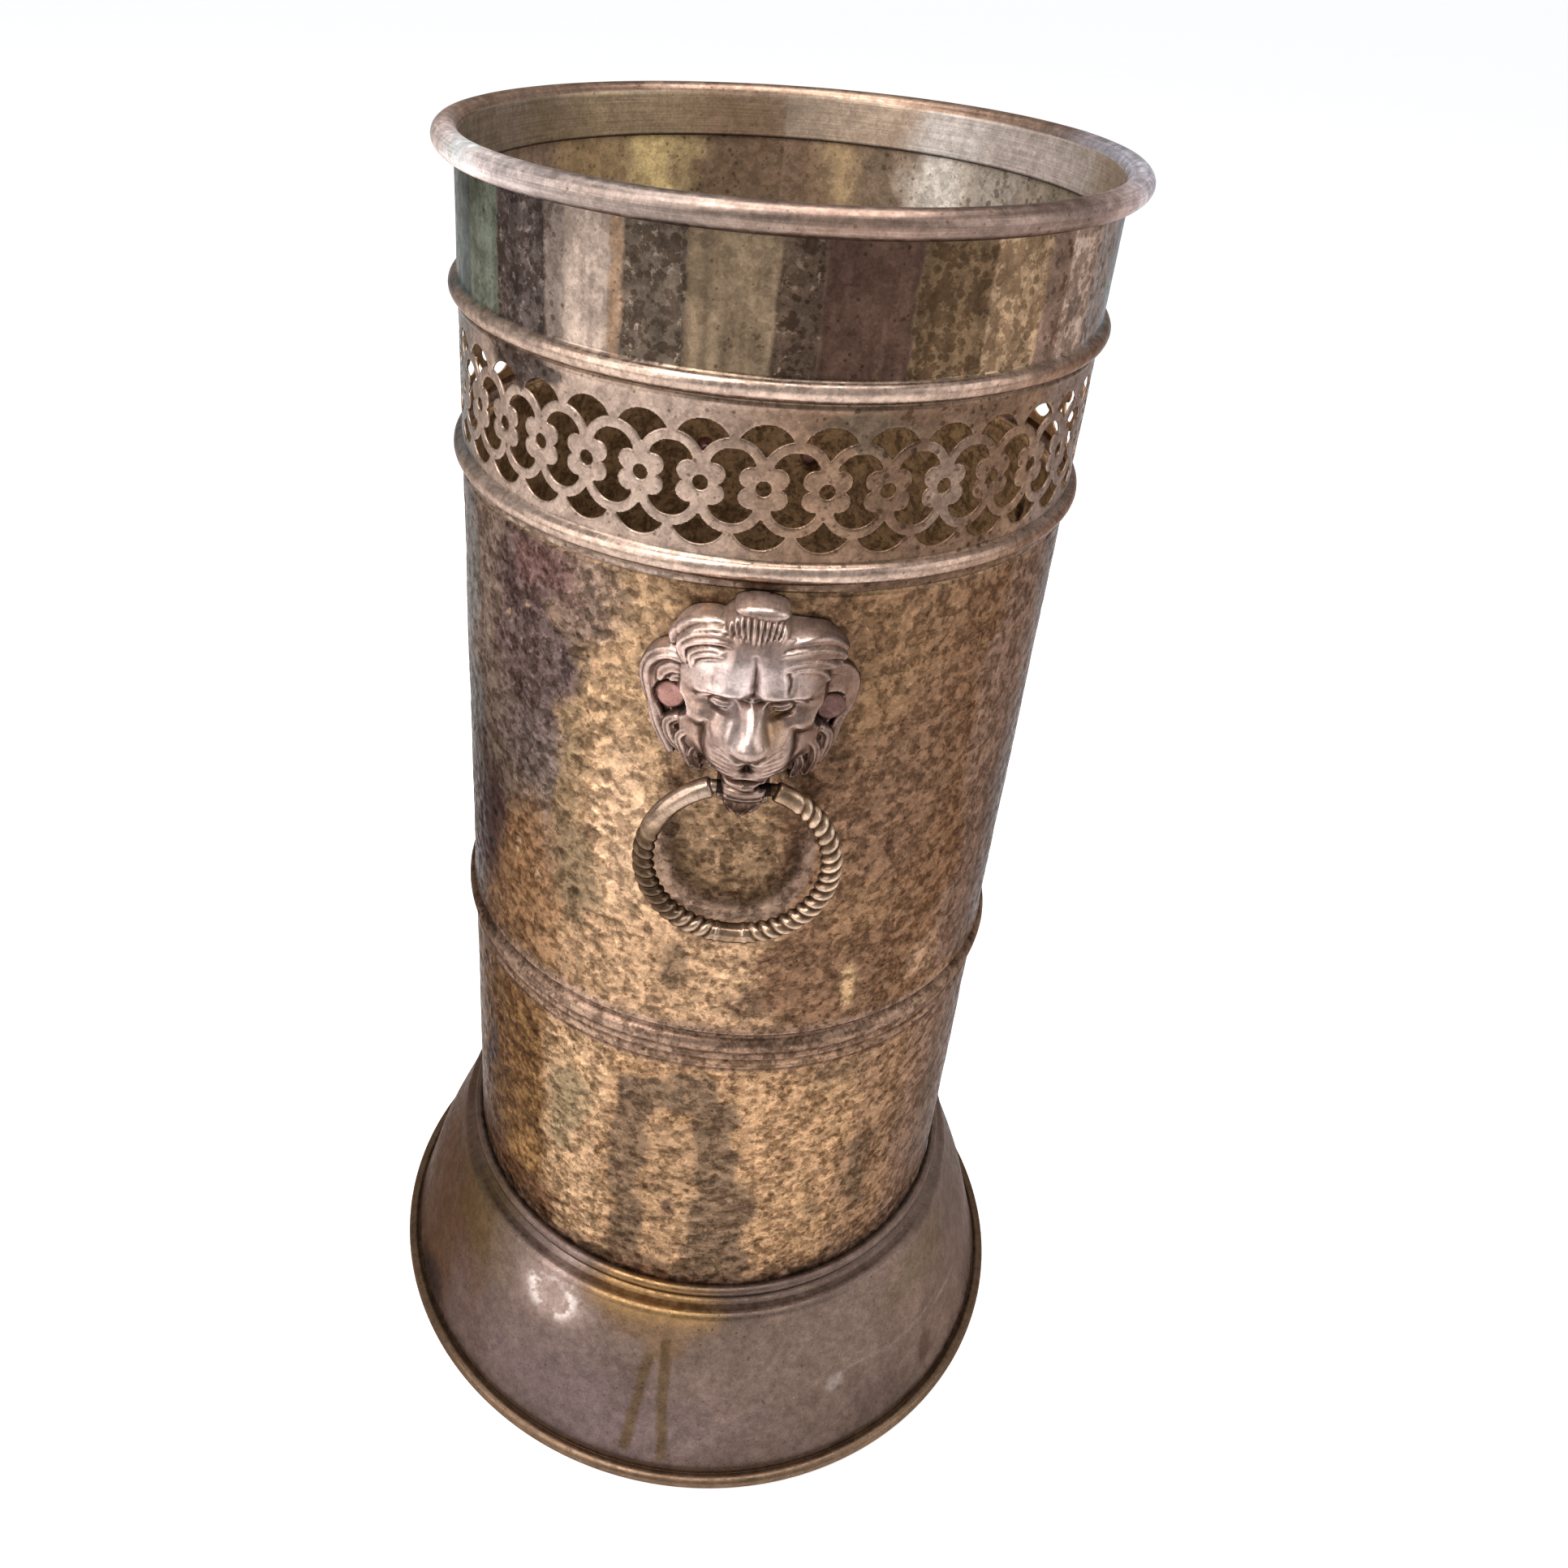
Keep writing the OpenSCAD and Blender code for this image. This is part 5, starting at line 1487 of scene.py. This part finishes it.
def make_rivet(name, node, seed):
    """A hand-peened rivet: shank, and a flat-domed head with small hammer facets."""
    back, seat, top = RIVET_BACK, RIVET_SEAT, RIVET_TOP
    section = np.array(
        [(1.7, back), (2.5, back + 0.5), (2.5, back + 1.0), (2.0, back + 1.15)]
        + [(2.0, r) for r in np.linspace(back + 1.6, seat, 6)]
        + [(HEAD_R - 0.3, seat), (HEAD_R - 0.05, seat + 0.25), (HEAD_R, seat + 0.6),
           (HEAD_R - 0.12, top - 0.45), (HEAD_R - 0.5, top - 0.12)]
        + [(q, top - 0.18 * (q / HEAD_R) ** 2) for q in np.arange(3.6, 0.5, -0.5)])
    turns = np.arange(RIVET_SIDES) * 2 * math.pi / RIVET_SIDES
    r, t = np.meshgrid(section[:, 0], turns, indexing="ij")
    out = np.repeat(section[:, 1:], RIVET_SIDES, 1)
    dents = noise(r * np.cos(t) + 10 * seed, r * np.sin(t), out, 2.4, seed, 2)
    out = out - 0.10 * (1 + dents * ramp(out, seat + 0.3, top - 0.2))
    r = r * (1 + 0.018 * np.sin(3 * t + seed) + 0.01 * np.sin(7 * t))
    flat = np.stack([r * np.cos(t), r * np.sin(t), out], -1).reshape(-1, 3)
    flat = np.vstack([flat, [0, 0, back], [0, 0, top - 0.1]])
    # lay it into the wall: to the right, up, and outwards
    at_x, at_y, at_z = middle(node)
    az = math.atan2(at_x, -at_y)
    axes = np.array([[math.cos(az), math.sin(az), 0], [0, 0, 1], [math.sin(az), -math.cos(az), 0]])
    points = flat @ axes + [0, 0, at_z]
    c = Coat(points, (140, 103, 96), 0.3, 0.1, 0.2, seed=31 + seed)
    c.dull[:] = 0.4
    c.scale(1.7 if seed % 2 else 0.5)  # painted light on the left one of each mask, painted shade on the right one
    edge = ramp(np.hypot(flat[:, 0], flat[:, 1]), 3.4, 4.4)
    c.wash(edge * 0.7, (96, 68, 60), 0.4)
    c.wash((1 - edge) * ramp(c.noise(1.6, 5 + seed, 2), 0, 0.6) * 0.3, (150, 110, 102), 0.1, 0.2)
    return write_mesh(name, points, *closed_tube(len(section), RIVET_SIDES), c)


# ---- stage, light and camera, before the pieces ----

camera = bpy.data.objects.new("camera", bpy.data.cameras.new("camera"))
scene.collection.objects.link(camera)
scene.camera = camera
camera.data.sensor_width = 36
camera.data.lens = 30.93
camera.data.shift_x, camera.data.shift_y = 0.0585, -0.0719
CAMERA_AT = Vector((-0.01188, -0.44254, 0.56683))
TURN, DOWN, ROLL = math.radians(1.0), 0.5352, 0.0658
camera.matrix_world = (Matrix.Translation(CAMERA_AT) @ Matrix.Rotation(TURN, 4, "Z")
                       @ Matrix.Rotation(math.pi / 2 - DOWN, 4, "X") @ Matrix.Rotation(ROLL, 4, "Z"))

world = bpy.data.worlds.new("studio")
scene.world = world
world.use_nodes = True
world.node_tree.nodes["Background"].inputs["Color"].default_value = (0.97, 0.98, 1.0, 1)
world.node_tree.nodes["Background"].inputs["Strength"].default_value = 0.62
scene.view_settings.view_transform = "Standard"


def soft_light(name, at, target, size, power, colour=(1, 1, 1)):
    light = bpy.data.objects.new(name, bpy.data.lights.new(name, "AREA"))
    light.data.shape = "RECTANGLE"
    light.data.size, light.data.size_y = size
    light.data.energy = power
    light.data.color = colour
    light.location = at
    light.rotation_euler = (Vector(target) - Vector(at)).to_track_quat("-Z", "Y").to_euler()
    scene.collection.objects.link(light)


aim = (0, 0, 0.28)
soft_light("window", (-1.25, -0.85, 1.05), aim, (1.5, 1.3), 17, (1.0, 0.96, 0.93))
soft_light("lamp", (-0.5, -0.75, 1.6), aim, (0.5, 0.5), 10, (1.0, 0.97, 0.95))
soft_light("fill", (1.4, -0.5, 0.9), aim, (1.0, 1.2), 8, (0.93, 0.97, 1.0))
soft_light("top", (0.0, -0.1, 1.7), aim, (1.2, 1.0), 22)

FLOOR_SIZE = 40
bpy.ops.mesh.primitive_plane_add(size=FLOOR_SIZE, location=(0, 0, -0.0002))
floor = bpy.context.object
floor.name = "floor"
s = Shader("floor_paper")
paper = s.mix(s.ramp(s.noise(60, 4), 0.3, 0.7), (0.90, 0.90, 0.90, 1), (0.93, 0.93, 0.93, 1))
assign(floor, s.finish(Base_Color=paper, Roughness=0.9, Emission_Color=(1, 1, 1, 1), Emission_Strength=0.42,
                       Normal=s.bump(s.noise(0.8, 3), 0.03)))

# ---- the stand ----

brass_hammered = aged_metal("hammered_brass_aged", spot_size=3.2, mottle=0.95)
brass_gallery = aged_metal("gallery_brass_aged", dark=(0.36, 0.31, 0.28, 1), pale=(1.8, 1.75, 1.65, 1),
                           spot_size=2.8, rough=(0.24, 0.46), pits=0.012, mottle=0.45)
brass_rim = aged_metal("rim_brass_aged", spot_size=3.0, rough=(0.30, 0.48), brushed=0.5, pits=0.012,
                       mottle=0.25)
brass_foot = aged_metal("foot_brass_aged", spot_size=2.6, rough=(0.36, 0.58), pits=0.015, mottle=0.22)
brass_mask = aged_metal("mask_brass_aged", spot_size=2.2, rough=(0.27, 0.42), pits=0.010, mottle=0.3)
brass_ring = aged_metal("ring_brass_aged", spot_size=2.0, rough=(0.24, 0.42), pits=0.014, mottle=0.45)
copper = aged_metal("rivet_copper_aged", spot_size=1.4, rough=(0.28, 0.45))
pan = aged_metal("pan_brass_aged", (104, 82, 58), (74, 58, 44), speck=0.6, rough=(0.4, 0.65))
steel = aged_metal("wire_steel_aged", (118, 104, 92), (86, 62, 48), speck=0.6, rough=(0.45, 0.7))
burr_copper = aged_metal("burr_copper_aged", (150, 104, 82), (96, 66, 50), speck=0.4, spot_size=1.2)

place(make_rim(), "stand", "rim_brass", brass_rim, "rim_collar")
place(make_band(), "stand", "gallery_brass", brass_gallery, "gallery_band")
place(make_barrel(), "stand", "hammered_brass", brass_hammered, "barrel")
place(make_foot(), "stand", "foot_brass", brass_foot, "foot_skirt")
for side, facing in (("front", 0), ("back", 180)):
    node = f"lion_mask_{side}"
    place(make_mask(f"{node}_brass", facing), "stand", "mask_brass", brass_mask, node)
    node = f"ring_handle_{side}"
    place(make_ring(f"{node}_brass", facing), f"{side}_ring", "ring_brass", brass_ring, node)
    for number, hand in enumerate(("left", "right")):
        node = f"rivet_{side}_{hand}"
        rivet = make_rivet(f"{node}_copper", node, 1 + number + facing // 90)
        place(rivet, "stand", "rivet_copper", copper, node)
        assign(frame["nodes"][f"burr_{side}_{hand}"], burr_copper)
assign(frame["nodes"]["bottom_pan"], pan)
for node in ("rim_wire", "foot_wire"):
    assign(frame["nodes"][node], steel)
